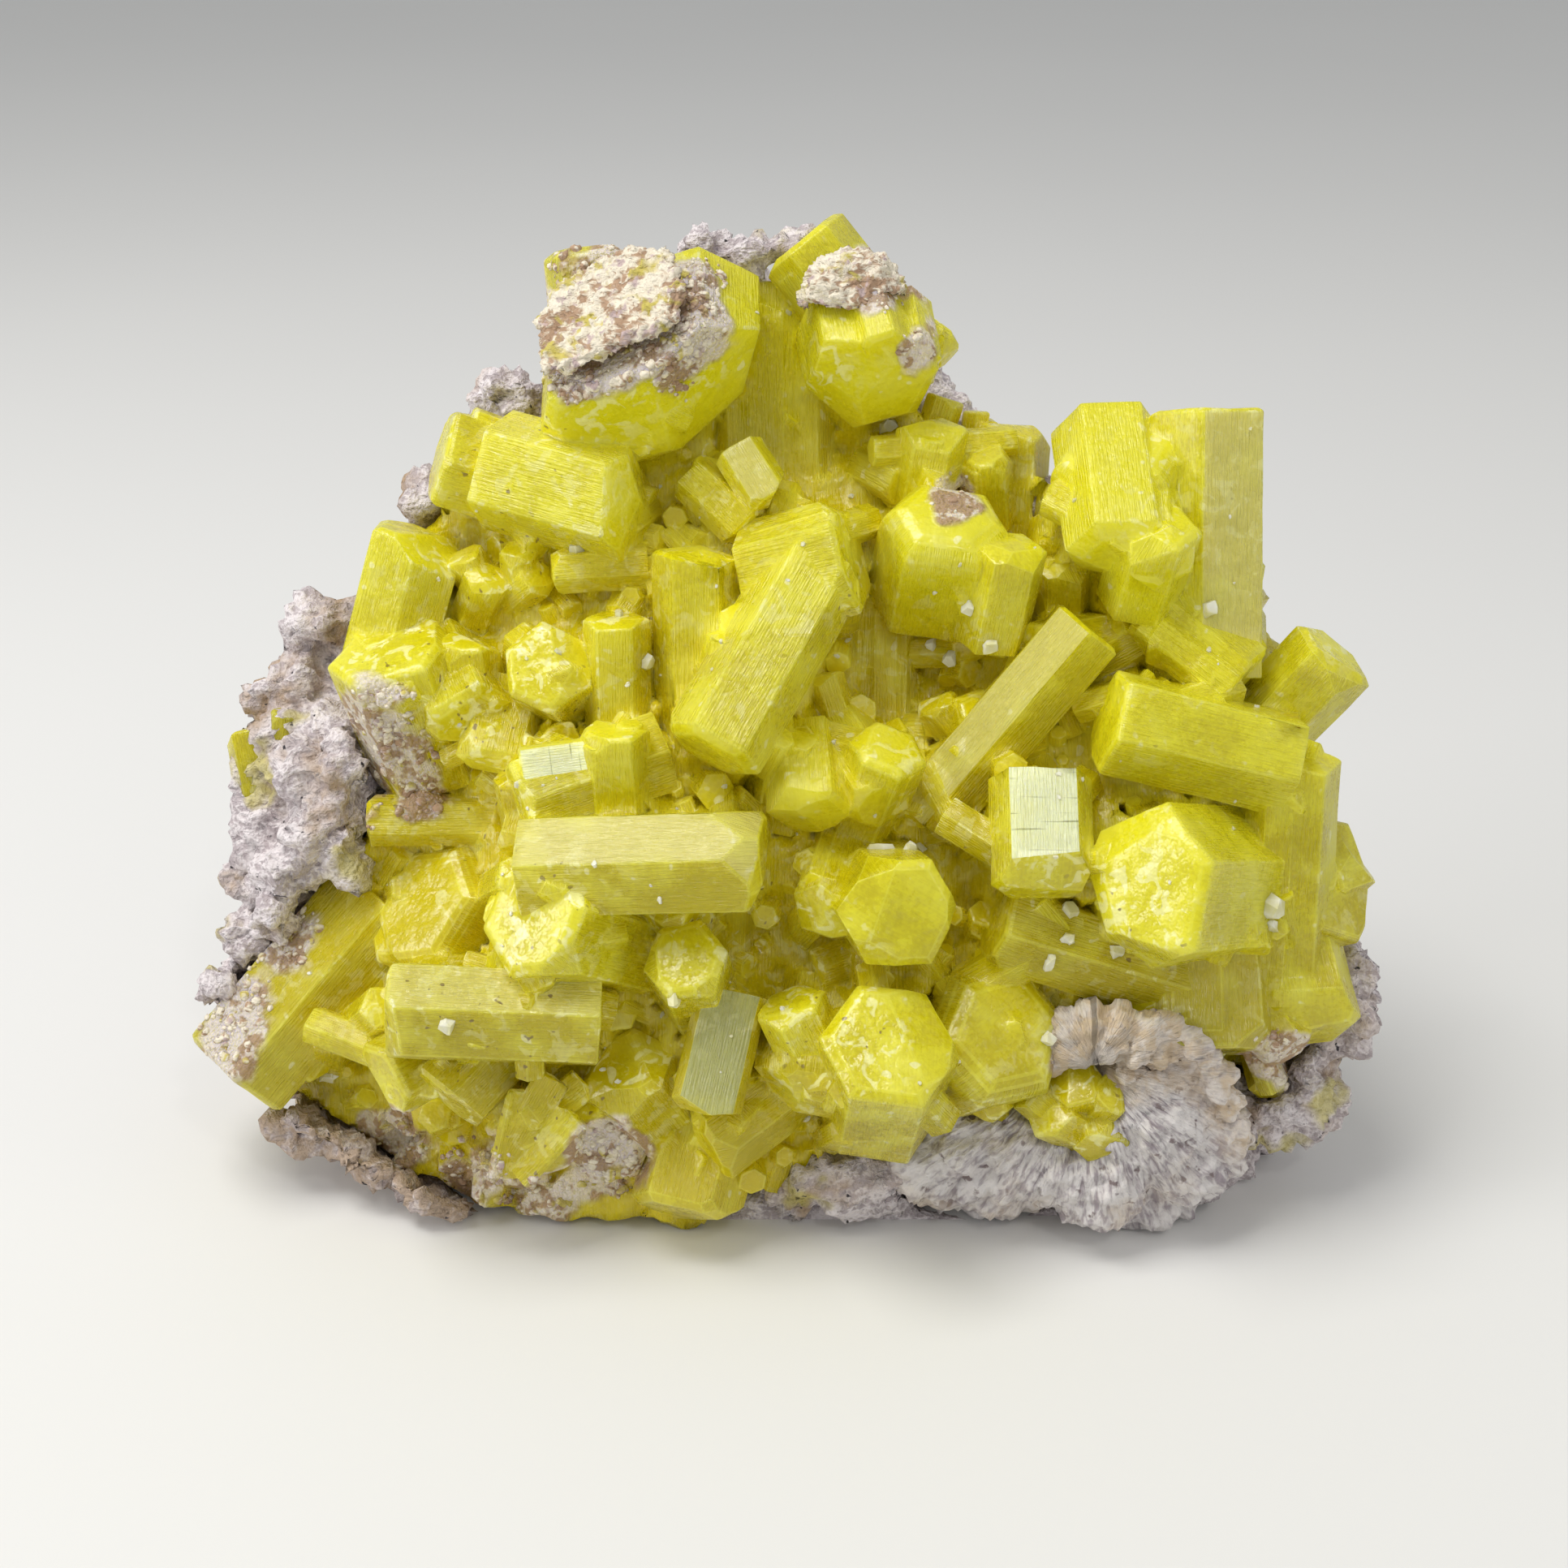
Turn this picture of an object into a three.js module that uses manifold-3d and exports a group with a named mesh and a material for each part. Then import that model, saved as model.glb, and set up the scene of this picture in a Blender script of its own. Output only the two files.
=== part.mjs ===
// Sturmanite crystals grown together on a piece of their matrix: a loose hand specimen.
//
// Everything is laid out in the frame of the crystal-covered face, in millimetres:
// x to the right, "up" along the face, "out" square to it. The face leans back over
// its flat foot, and the outer group tips that frame into the world, where z is up and
// the origin is the middle of the foot.
import * as THREE from "three";
import { mergeVertices } from "three/addons/utils/BufferGeometryUtils.js";
import Module from "manifold-3d";

const wasm = await Module();
wasm.setup();

// ---- Driving dimensions (mm and degrees) ----
const FACE_LEAN = 25.4; // how far the face leans back from upright
const FACE_FOOT = 10.0; // from the middle of the foot forward to the foot of the face
const EYE_DISTANCE = 81.0; // the point that the crystals' places are sighted from
const EYE_LEVEL = 16.92;
const SEAT_GAP = 0.3; // between two solids that meet
const SMALLEST_BEVEL = 0.35; // a finer bevel is left off the solid
const FLOOR_GAP = 0.1; // what grows on the rock ends this far above the foot

const UNEVENNESS = 0.06; // how far a crystal's corners are out of true, as a part of its width

const CRUST_DEPTH = 3.2; // massive yellow crust between the crystals
const CRUST_TOP = 2.8; // the crust's highest place, in the middle of the face
const CRUST_MIDDLE = 16.0;
const CRUST_HALF_WIDTH = 20.0;
const CRUST_HALF_HEIGHT = 18.0;
const CRUST_FALL_ACROSS = 5.2; // how much lower the crust lies at its sides
const CRUST_FALL_ALONG = 4.0; // and at its top and bottom
const CRUST_ROUGHNESS = 0.45;
const CRUST_PITCH = 1.1; // spacing of its swells
const CRUST_BACK = -12.0; // the crust is cut from a plate this deep
const CRUST_LIMIT = 8.0; // and this far out

const FIELD_WIDTH = 52.0; // block that a height field is made from
const FIELD_HEIGHT = 48.0;
const FIELD_DEPTH = 40.0;
const FIELD_LOW = -6.0;

const ROCK_FRONT = -1.2; // where no crust lies on the rock
const ROCK_ROUGHNESS = 0.7;
const ROCK_PITCH = 1.6;
const SMALL_KNOB = 1.95; // narrower knobs of the rock have fewer faces

// ---- Small helpers ----
const radians = THREE.MathUtils.degToRad;

function wobble(seed, step) {
  const value = Math.sin(seed * 12.9898 + step * 78.233) * 43758.5453;
  return 2 * (value - Math.floor(value)) - 1;
}

function ripple(x, y, z, pitch) {
  const a = Math.sin(x / pitch + 1.7 * Math.sin(y / pitch + 0.4));
  const b = Math.sin(y / pitch + 1.3 * Math.sin(z / pitch + 2.1));
  const c = Math.sin(z / pitch + 1.9 * Math.sin(x / pitch + 4.0));
  return (a + b + c) / 3;
}

function solidOf(geometry) {
  const bare = geometry.clone();
  bare.deleteAttribute("normal");
  bare.deleteAttribute("uv");
  const merged = mergeVertices(bare, 1e-4);
  const vertProperties = new Float32Array(merged.attributes.position.array);
  const triVerts = new Uint32Array(merged.index.array);
  return new wasm.Manifold(new wasm.Mesh({ numProp: 3, vertProperties, triVerts }));
}

function geometryOf(solid) {
  const mesh = solid.getMesh();
  const geometry = new THREE.BufferGeometry();
  geometry.setAttribute("position", new THREE.BufferAttribute(mesh.vertProperties, 3));
  geometry.setIndex(new THREE.BufferAttribute(mesh.triVerts, 1));
  geometry.computeVertexNormals();
  return geometry;
}

function joined(solids) {
  return solids.reduce((sum, solid) => sum.add(solid));
}

function largest(solid) {
  return solid.decompose().reduce((best, piece) => (piece.volume() > best.volume() ? piece : best));
}

function aboveFloor(solid, height) {
  const lean = radians(FACE_LEAN);
  return solid.trimByPlane([0, Math.cos(lean), Math.sin(lean)], height);
}

// Rings of equal length, each listed counter-clockwise as seen from the last one.
function loft(rings) {
  const count = rings[0].length;
  const points = rings.flat();
  const index = [];
  for (let ring = 0; ring < rings.length - 1; ring += 1) {
    for (let corner = 0; corner < count; corner += 1) {
      const a = ring * count + corner;
      const b = ring * count + ((corner + 1) % count);
      const c = b + count;
      const d = a + count;
      index.push(a, b, c, a, c, d);
    }
  }
  const last = (rings.length - 1) * count;
  for (let corner = 1; corner < count - 1; corner += 1) {
    index.push(0, corner + 1, corner);
    index.push(last, last + corner, last + corner + 1);
  }
  const geometry = new THREE.BufferGeometry().setFromPoints(points);
  geometry.setIndex(index);
  return geometry;
}

// ---- Crystals ----
// A prism is given by its end face: where its middle is sighted (x, up, out), which way
// the prism points (turn from x, lift off the face, roll about its own axis), its
// length, its width corner to corner, its thickness flat to flat, and the edge's bevel.
function prism(name, site, way, size, bevel) {
  return { name, site, way, size, bevel };
}

const CRYSTALS = [
  // Crown: two big blocks, the plate between them and what flanks them.
  prism("crown_left_block", [-5.1, 30.4, 4.5], [-88, 33, 21], [5.2, 8.4, 4.3], 0.4),
  prism("crown_left_corner", [-7.1, 36.7, 1.6], [94, 8, 0], [6.0, 3.8, 3.0], 0.5),
  prism("crown_plate", [-0.4, 35.4, 0.6], [90, 4, 0], [10.5, 4.6, 2.2], 0.2),
  prism("crown_right_block", [3.4, 31.4, 4.0], [-80, 30, 8], [3.4, 4.8, 4.2], 0.5),
  prism("crown_right_peak", [0.6, 37.0, 2.2], [129, 10, 0], [6.6, 3.5, 3.2], 0.3),
  prism("crown_right_step", [5.5, 32.4, 2.6], [-40, 18, 20], [3.0, 2.6, 2.2], 0.2),
  prism("shoulder_tip", [6.0, 31.2, 0.8], [72, 12, 0], [3.2, 1.5, 1.3], 0.1),
  prism("shoulder_nub", [7.1, 30.7, 0.2], [85, 10, 30], [3.0, 1.1, 1.0], 0.1),
  prism("shoulder_block", [8.3, 30.2, -0.3], [88, 8, 0], [6.5, 3.4, 3.0], 0.2),
  prism("shoulder_flake", [3.2, 29.2, 2.4], [186, 12, 0], [5.4, 1.2, 1.0], 0.1),
  // Left arm below the crown.
  prism("left_arm_end", [-12.9, 29.2, 1.6], [165, 18, 20], [6.6, 3.9, 3.3], 0.3),
  prism("left_arm_body", [-5.3, 27.0, 3.2], [-17, 16, 6], [7.4, 4.5, 3.6], 0.2),
  prism("left_arm_stub_a", [-11.9, 25.4, 1.6], [120, 35, 0], [3.0, 1.6, 1.4], 0.1),
  prism("left_arm_stub_b", [-10.9, 24.6, 2.0], [60, 45, 20], [3.0, 1.7, 1.4], 0.1),
  prism("left_arm_stub_c", [-9.8, 25.6, 2.2], [90, 40, 10], [3.0, 1.5, 1.3], 0.1),
  prism("left_arm_stub_d", [-9.0, 24.6, 2.2], [30, 50, 0], [3.0, 1.5, 1.3], 0.1),
  // Upper middle.
  prism("middle_pale_chip", [-0.5, 27.3, 3.6], [-59, 10, 0], [2.3, 2.0, 1.5], 0.1),
  prism("middle_ribbed_stub", [-1.4, 26.3, 3.0], [-45, 12, 0], [2.8, 1.9, 1.6], 0.1),
  prism("middle_upright", [-3.2, 25.6, 3.8], [90, 16, 0], [7.0, 3.2, 2.8], 0.2),
  prism("middle_brick", [2.5, 25.4, 4.4], [12, 20, 0], [3.8, 4.1, 3.2], 0.2),
  prism("round_head", [6.4, 27.6, 5.0], [80, 50, 0], [5.5, 5.2, 4.2], 0.5),
  prism("round_head_neighbour", [8.1, 25.0, 4.4], [80, 25, 10], [4.6, 2.9, 2.4], 0.3),
  // Right tower.
  prism("tower_upright", [15.5, 30.7, 2.6], [91, 6, 19], [9.5, 4.6, 4.0], 0.2),
  prism("tower_round_end", [12.4, 29.1, 4.2], [100, 45, 0], [7.5, 4.3, 3.6], 0.6),
  prism("tower_knob", [13.9, 26.6, 5.4], [80, 45, 0], [3.6, 3.0, 2.6], 0.3),
  prism("tower_chip", [14.1, 25.2, 5.6], [-60, 60, 0], [3.0, 2.6, 2.0], 0.3),
  prism("tower_foot", [17.0, 25.6, 3.0], [85, 25, 0], [3.8, 1.7, 1.5], 0.2),
  prism("tower_pale_stub", [10.2, 25.3, 2.2], [95, 38, 0], [4.0, 2.4, 2.1], 0.1),
  // Long slanting prism and what lies about it.
  prism("slanting_prism", [11.8, 22.6, 3.8], [50, 10, 30], [9.0, 3.1, 2.7], 0.2),
  prism("hollow_plate", [3.6, 24.0, 0.8], [90, 4, 0], [6.5, 2.7, 1.6], 0.1),
  prism("hollow_blade", [1.5, 21.0, 3.0], [108, 12, 0], [3.8, 1.4, 1.2], 0.1),
  prism("hollow_stub_a", [5.5, 20.0, 2.6], [130, 30, 0], [3.0, 1.6, 1.4], 0.1),
  prism("hollow_stub_b", [7.6, 19.5, 3.0], [60, 50, 0], [3.4, 2.6, 2.2], 0.3),
  prism("hollow_shard", [7.2, 18.0, 3.2], [200, 20, 0], [2.4, 1.6, 0.8], 0.1),
  prism("hollow_sliver", [6.3, 15.4, 3.8], [-62, 12, 0], [2.4, 1.0, 0.8], 0.1),
  // Left shoulder.
  prism("left_peak", [-14.0, 26.3, 1.6], [72, 16, 40], [6.0, 3.7, 3.2], 0.3),
  prism("left_hexagon", [-14.6, 22.0, 2.8], [105, 38, 0], [5.5, 4.7, 3.8], 0.3),
  prism("left_small_top", [-11.7, 22.3, 2.6], [92, 30, 0], [3.2, 2.3, 1.9], 0.2),
  prism("left_block", [-8.8, 21.3, 4.2], [120, 74, 8], [4.2, 3.4, 3.0], 0.3),
  prism("left_facet_prism", [-9.8, 16.2, 4.6], [200, 14, 28], [6.0, 3.4, 2.9], 0.2),
  prism("left_ledge", [-15.4, 15.6, 1.0], [180, 6, 0], [5.0, 1.9, 1.6], 0.1),
  prism("centre_left_upright", [-6.2, 23.1, 3.6], [90, 16, 0], [5.2, 2.5, 2.2], 0.2),
  prism("centre_left_tablet", [-8.6, 24.8, 2.8], [184, 8, 0], [3.4, 1.7, 1.5], 0.1),
  prism("centre_left_block", [-6.3, 19.2, 4.2], [92, 25, 0], [2.6, 2.2, 1.9], 0.2),
  prism("flaky_mass", [-11.6, 19.2, 3.0], [-60, 40, 0], [4.0, 3.4, 2.4], 0.4),
  prism("flaky_foot", [-10.8, 17.6, 3.2], [-100, 30, 0], [3.4, 2.8, 1.6], 0.3),
  // Big diagonal prism and the stubs at its foot.
  prism("big_diagonal", [-2.7, 18.0, 6.0], [-119, 16, 0], [8.0, 3.8, 3.2], 0.4),
  prism("centre_stub_a", [0.3, 19.0, 4.4], [80, 30, 0], [3.8, 2.5, 2.1], 0.2),
  prism("centre_stub_b", [1.0, 15.7, 5.0], [-85, 35, 0], [3.4, 3.0, 2.5], 0.3),
  prism("centre_stub_c", [3.9, 18.3, 5.2], [70, 45, 0], [4.2, 2.8, 2.4], 0.3),
  prism("centre_stub_d", [3.7, 16.2, 4.8], [-60, 40, 0], [3.8, 2.6, 2.2], 0.2),
  // Right flank.
  prism("right_brick", [11.9, 19.3, 4.6], [167, 10, 10], [6.8, 3.9, 3.3], 0.2),
  prism("right_upper_brick", [16.9, 20.6, 3.2], [-40, 14, 10], [4.2, 3.2, 2.7], 0.2),
  prism("right_upper_end", [20.4, 21.8, 2.4], [50, 25, 0], [5.2, 3.4, 3.0], 0.3),
  prism("right_upright", [18.6, 18.0, 3.0], [90, 14, 0], [9.6, 3.7, 3.1], 0.3),
  prism("right_small_facet", [15.9, 16.7, 3.6], [-70, 20, 0], [2.6, 2.2, 1.7], 0.1),
  prism("right_mirror_facet", [9.6, 13.0, 5.8], [-90, 18, 0], [4.0, 3.8, 2.6], 0.3),
  prism("great_hexagon", [14.5, 13.3, 6.6], [178, 70, 4], [7.0, 5.5, 5.7], 0.4),
  prism("great_hexagon_slab", [15.1, 10.8, 5.0], [-90, 40, 0], [5.4, 5.6, 3.0], 0.2),
  prism("right_rough", [20.6, 13.6, 1.8], [20, 50, 0], [5.4, 5.0, 3.6], 0.3),
  prism("right_broken", [19.4, 7.8, 2.0], [-82, 30, 0], [6.0, 4.2, 3.2], 0.4),
  prism("right_lower_chip", [18.6, 7.0, 2.2], [-60, 30, 0], [3.0, 2.4, 2.0], 0.2),
  prism("right_dark_face", [15.6, 7.0, 2.4], [-88, 12, 0], [7.0, 5.2, 3.2], 0.2),
  prism("right_small_stub", [18.0, 5.6, 0.2], [-85, 40, 0], [3.2, 1.6, 1.4], 0.2),
  prism("right_lower_prism", [7.8, 11.8, 3.6], [163, 12, 20], [7.2, 3.2, 2.8], 0.2),
  // Lower middle.
  prism("long_prism", [-0.7, 14.1, 6.4], [2, 9, 28], [11.0, 3.9, 3.3], 0.3),
  prism("under_long_stub", [-3.2, 11.8, 4.4], [-30, 30, 0], [2.8, 2.4, 2.0], 0.2),
  prism("lower_hexagon", [-3.7, 10.5, 5.6], [100, 66, 0], [4.6, 3.1, 2.7], 0.3),
  prism("centre_hexagon", [4.4, 12.2, 6.4], [-40, 76, 10], [5.0, 4.3, 3.7], 0.35),
  prism("centre_hexagon_stub", [1.7, 11.9, 5.4], [-110, 50, 0], [4.0, 2.8, 2.0], 0.3),
  prism("lower_tilted", [0.2, 8.9, 4.8], [115, 24, 0], [3.6, 2.6, 2.2], 0.2),
  prism("lower_great_hexagon", [3.9, 7.4, 6.4], [85, 62, 0], [6.2, 5.0, 4.3], 0.4),
  prism("lower_rounded", [1.2, 5.0, 4.4], [-100, 38, 0], [4.4, 4.6, 3.4], 0.6),
  prism("lower_round_head", [8.4, 7.8, 4.8], [40, 66, 0], [6.0, 5.2, 4.5], 0.6),
  prism("tablet", [-2.9, 4.7, 4.4], [-103, 6, 0], [4.4, 2.6, 1.2], 0.1),
  prism("bottom_facet", [-3.0, 3.6, 2.6], [215, 20, 0], [4.6, 3.2, 2.8], 0.3),
  prism("bottom_tip", [-4.2, 0.5, 0.6], [-92, 12, 0], [5.0, 3.0, 2.5], 0.5),
  // Lower left.
  prism("corner_hexagon", [-9.2, 11.3, 6.2], [158, 55, 0], [5.6, 4.3, 3.8], 0.4),
  prism("level_prism", [-14.7, 8.6, 4.8], [177, 6, 38], [9.0, 3.8, 3.3], 0.2),
  prism("lower_left_stub", [-14.9, 5.9, 2.6], [208, 40, 0], [4.6, 3.1, 2.5], 0.2),
  prism("lower_left_leaf", [-12.5, 5.2, 3.0], [226, 22, 30], [4.4, 3.2, 2.7], 0.2),
  prism("slab_wedge", [-20.2, 6.2, -1.4], [230, 6, 28], [8.5, 5.0, 3.9], 0.3),
  prism("slab_root", [-13.8, 12.6, 1.6], [150, 50, 0], [4.0, 5.4, 4.4], 0.8),
  prism("blade_upper", [-8.5, 6.1, 3.4], [60, 10, 20], [3.4, 1.1, 0.6], 0.05),
  prism("blade_middle", [-7.8, 4.6, 3.0], [70, 10, -20], [3.2, 1.1, 0.6], 0.05),
  prism("blade_mass", [-8.9, 3.1, 2.4], [-70, 45, 0], [3.6, 3.0, 2.4], 0.3),
  prism("granular_block", [-6.0, 6.5, 3.2], [120, 50, 0], [4.2, 3.6, 3.0], 0.4),
  prism("granular_stub", [-6.5, 3.3, 1.8], [-80, 65, 0], [4.0, 3.4, 3.0], 0.5),
];

// Small crystals that grow on the bare rock at the left, fused to it.
const ROCK_CRYSTALS = [
  prism("flank_flake", [-19.8, 19.0, -1.4], [100, 10, 0], [3.8, 1.8, 1.4], 0.1),
  prism("flank_stub", [-18.4, 19.6, -0.8], [80, 20, 0], [3.0, 1.3, 1.1], 0.1),
];

const NODULE_CRYSTALS = [
  prism("nodule_crystal_a", [10.8, 6.0, 2.2], [100, 60, 0], [3.0, 2.1, 1.9], 0.1),
  prism("nodule_crystal_b", [12.2, 5.5, 2.2], [60, 55, 10], [3.0, 1.7, 1.5], 0.1),
  prism("nodule_crystal_c", [11.8, 3.4, 2.0], [-80, 50, 0], [3.0, 2.0, 1.7], 0.1),
  prism("nodule_crystal_d", [9.7, 4.7, 2.2], [150, 40, 0], [3.0, 1.8, 1.5], 0.1),
  prism("nodule_crystal_e", [8.9, 5.6, 2.0], [140, 30, 0], [2.6, 1.5, 1.3], 0.1),
];

// A point sighted at (x, up) that stands proud of the face is really nearer the line of
// sight than it looks.
function placeOf(site) {
  const [x, up, out] = site;
  const nearness = 1 - out / EYE_DISTANCE;
  return new THREE.Vector3(x * nearness, EYE_LEVEL + (up - EYE_LEVEL) * nearness, out);
}

// The prism's own directions: along its axis, across its wide side, square to its flat.
function directionsOf(way) {
  const [turn, lift, roll] = way.map(radians);
  const along = new THREE.Vector3(
    Math.cos(turn) * Math.cos(lift),
    Math.sin(turn) * Math.cos(lift),
    Math.sin(lift),
  );
  const outward = new THREE.Vector3(0, 0, 1);
  const flat = outward.addScaledVector(along, -along.z).normalize();
  const side = new THREE.Vector3().crossVectors(flat, along);
  const across = side.clone().multiplyScalar(Math.cos(roll)).addScaledVector(flat, Math.sin(roll));
  const square = flat.clone().multiplyScalar(Math.cos(roll)).addScaledVector(side, -Math.sin(roll));
  return { along, across, square };
}

function hexagon(width, thickness) {
  const flatHalf = (width - thickness / Math.sqrt(3)) / 2;
  const pointHalf = width / 2;
  const deep = thickness / 2;
  return [
    [pointHalf, 0],
    [flatHalf, deep],
    [-flatHalf, deep],
    [-pointHalf, 0],
    [-flatHalf, -deep],
    [flatHalf, -deep],
  ];
}

// A six-sided prism with 120 degree corners, slightly uneven as grown crystals are, and
// with its end edge bevelled. margin makes the same prism bigger all round.
function crystalGeometry(crystal, seed, margin) {
  const { along, across, square } = directionsOf(crystal.way);
  const [length, width, thickness] = crystal.size;
  const place = placeOf(crystal.site);
  const steps = [[-length, -margin]];
  if (crystal.bevel < SMALLEST_BEVEL) {
    steps.push([margin, -margin]);
  } else {
    steps.push([margin - 0.6 * crystal.bevel, -margin], [margin, crystal.bevel - margin]);
  }
  const rings = steps.map(([distance, inset]) =>
    hexagon(width - (4 / Math.sqrt(3)) * inset, thickness - 2 * inset).map(([p, q], corner) => {
      const uneven = 1 + UNEVENNESS * wobble(seed, corner);
      return place
        .clone()
        .addScaledVector(along, distance)
        .addScaledVector(across, p * uneven)
        .addScaledVector(square, q * uneven);
    }),
  );
  return loft(rings);
}

function crystalSolids(crystals, margin) {
  return crystals.map((crystal, index) => solidOf(crystalGeometry(crystal, index + 1, margin)));
}

// ---- Surfaces of the crust and of the rock under it ----
const HOLLOWS = [
  // x, up, radius, depth of the open pockets between the crystals
  [5.6, 21.4, 3.4, 2.4],
  [-13.4, 13.4, 1.4, 1.2],
  [-6.6, 7.9, 1.6, 1.2],
];

function crustSwell(x, up) {
  const across = (x / CRUST_HALF_WIDTH) ** 2;
  const along = ((up - CRUST_MIDDLE) / CRUST_HALF_HEIGHT) ** 2;
  return CRUST_TOP - CRUST_FALL_ACROSS * across - CRUST_FALL_ALONG * along;
}

function crustFront(x, up) {
  let front = crustSwell(x, up) + CRUST_ROUGHNESS * ripple(x, up, 0, CRUST_PITCH);
  for (const [middleX, middleUp, radius, depth] of HOLLOWS) {
    const reach = ((x - middleX) ** 2 + (up - middleUp) ** 2) / radius ** 2;
    front -= depth * Math.exp(-reach);
  }
  return front;
}

function rockFace(x, up) {
  return crustSwell(x, up) - CRUST_DEPTH;
}

// A block whose front follows height(x, up).
function heightField(height, columns, rows) {
  const geometry = new THREE.BoxGeometry(FIELD_WIDTH, FIELD_HEIGHT, FIELD_DEPTH, columns, rows, 1);
  geometry.translate(0, FIELD_LOW + FIELD_HEIGHT / 2, -FIELD_DEPTH / 2);
  const position = geometry.attributes.position;
  for (let i = 0; i < position.count; i += 1) {
    if (position.getZ(i) > -FIELD_DEPTH / 2) {
      position.setZ(i, height(position.getX(i), position.getY(i)));
    }
  }
  return solidOf(geometry);
}

// Where the yellow crust ends against the bare rock, round the face counter-clockwise.
const CRUST_OUTLINE = [
  [-18.6, 5.0], [-15.0, 3.0], [-11.0, 0.9], [-7.0, 0.8], [-3.2, 0.6], [0.4, 3.2],
  [4.0, 4.4], [7.0, 5.2], [9.6, 6.4], [12.6, 7.4], [16.0, 6.2], [19.0, 6.4],
  [20.2, 9.0], [20.4, 12.0], [19.6, 15.0], [19.6, 18.0], [19.0, 21.0], [17.2, 24.0],
  [16.4, 27.4], [13.2, 28.0], [10.6, 26.8], [9.0, 28.0], [6.4, 29.0], [4.2, 31.0],
  [1.8, 33.8], [-1.8, 34.4], [-4.4, 33.4], [-7.2, 31.6], [-8.4, 29.0], [-11.6, 28.0],
  [-13.4, 26.6], [-14.4, 24.0], [-15.2, 21.0], [-14.2, 18.0], [-15.4, 15.0],
  [-16.8, 12.6], [-19.0, 11.0], [-20.0, 8.0],
];

function offsetOutline(outline, distance) {
  return outline.map((point, index) => {
    const before = new THREE.Vector2(...outline.at(index - 1));
    const here = new THREE.Vector2(...point);
    const after = new THREE.Vector2(...outline[(index + 1) % outline.length]);
    const arriving = here.clone().sub(before).normalize();
    const leaving = after.clone().sub(here).normalize();
    const bisector = new THREE.Vector2(arriving.y + leaving.y, -arriving.x - leaving.x).normalize();
    const spread = Math.max(0.5, bisector.dot(new THREE.Vector2(arriving.y, -arriving.x)));
    return here.addScaledVector(bisector, distance / spread).toArray();
  });
}

function plateOf(outline, from, to) {
  const shape = new THREE.Shape(outline.map(([x, up]) => new THREE.Vector2(x, up)));
  const geometry = new THREE.ExtrudeGeometry(shape, { depth: to - from, bevelEnabled: false });
  geometry.translate(0, 0, from);
  return solidOf(geometry);
}

// ---- Rock ----
// The rock's left and right edge and its back, at heights along the face.
const ROCK_LEVELS = [
  { up: -8, left: -13.0, right: 15.5, back: -25.5 },
  { up: -3, left: -14.0, right: 16.0, back: -23.5 },
  { up: 0, left: -15.0, right: 17.0, back: -22.0 },
  { up: 4, left: -18.5, right: 19.5, back: -20.5 },
  { up: 8, left: -19.8, right: 20.6, back: -19.0 },
  { up: 12, left: -20.2, right: 20.4, back: -17.0 },
  { up: 16, left: -20.2, right: 19.8, back: -15.0 },
  { up: 20, left: -19.2, right: 19.4, back: -13.0 },
  { up: 24, left: -16.6, right: 17.8, back: -11.0 },
  { up: 26.5, left: -14.2, right: 14.6, back: -9.6 },
  { up: 29, left: -11.8, right: 8.8, back: -8.2 },
  { up: 32, left: -9.2, right: 6.6, back: -6.8 },
  { up: 34.5, left: -6.4, right: 3.8, back: -5.4 },
  { up: 35.8, left: -4.4, right: 1.8, back: -4.2 },
];

// One level's outline as fractions: across from its middle, and front to back.
const ROCK_SECTION = [
  [0.0, 0.0], [0.45, 0.0], [0.86, 0.02], [1.0, 0.12], [1.0, 0.32], [0.9, 0.56], [0.72, 0.76],
  [0.46, 0.92], [0.14, 1.0], [-0.2, 0.99], [-0.5, 0.9], [-0.76, 0.73], [-0.93, 0.52],
  [-1.0, 0.3], [-1.0, 0.12], [-0.86, 0.02], [-0.45, 0.0],
];

function rockSolid() {
  const rings = ROCK_LEVELS.map(({ up, left, right, back }) => {
    const middle = (left + right) / 2;
    const half = (right - left) / 2;
    return ROCK_SECTION.map(([acrossPart, depthPart]) => {
      const x = middle + half * acrossPart;
      const out = ROCK_FRONT + (back - ROCK_FRONT) * depthPart;
      const rough = ROCK_ROUGHNESS * ripple(x, up, out, ROCK_PITCH) * Math.min(1, 3 * depthPart);
      return new THREE.Vector3(x + rough * acrossPart, up, out - rough * depthPart);
    });
  });
  return solidOf(loft(rings));
}

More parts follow.
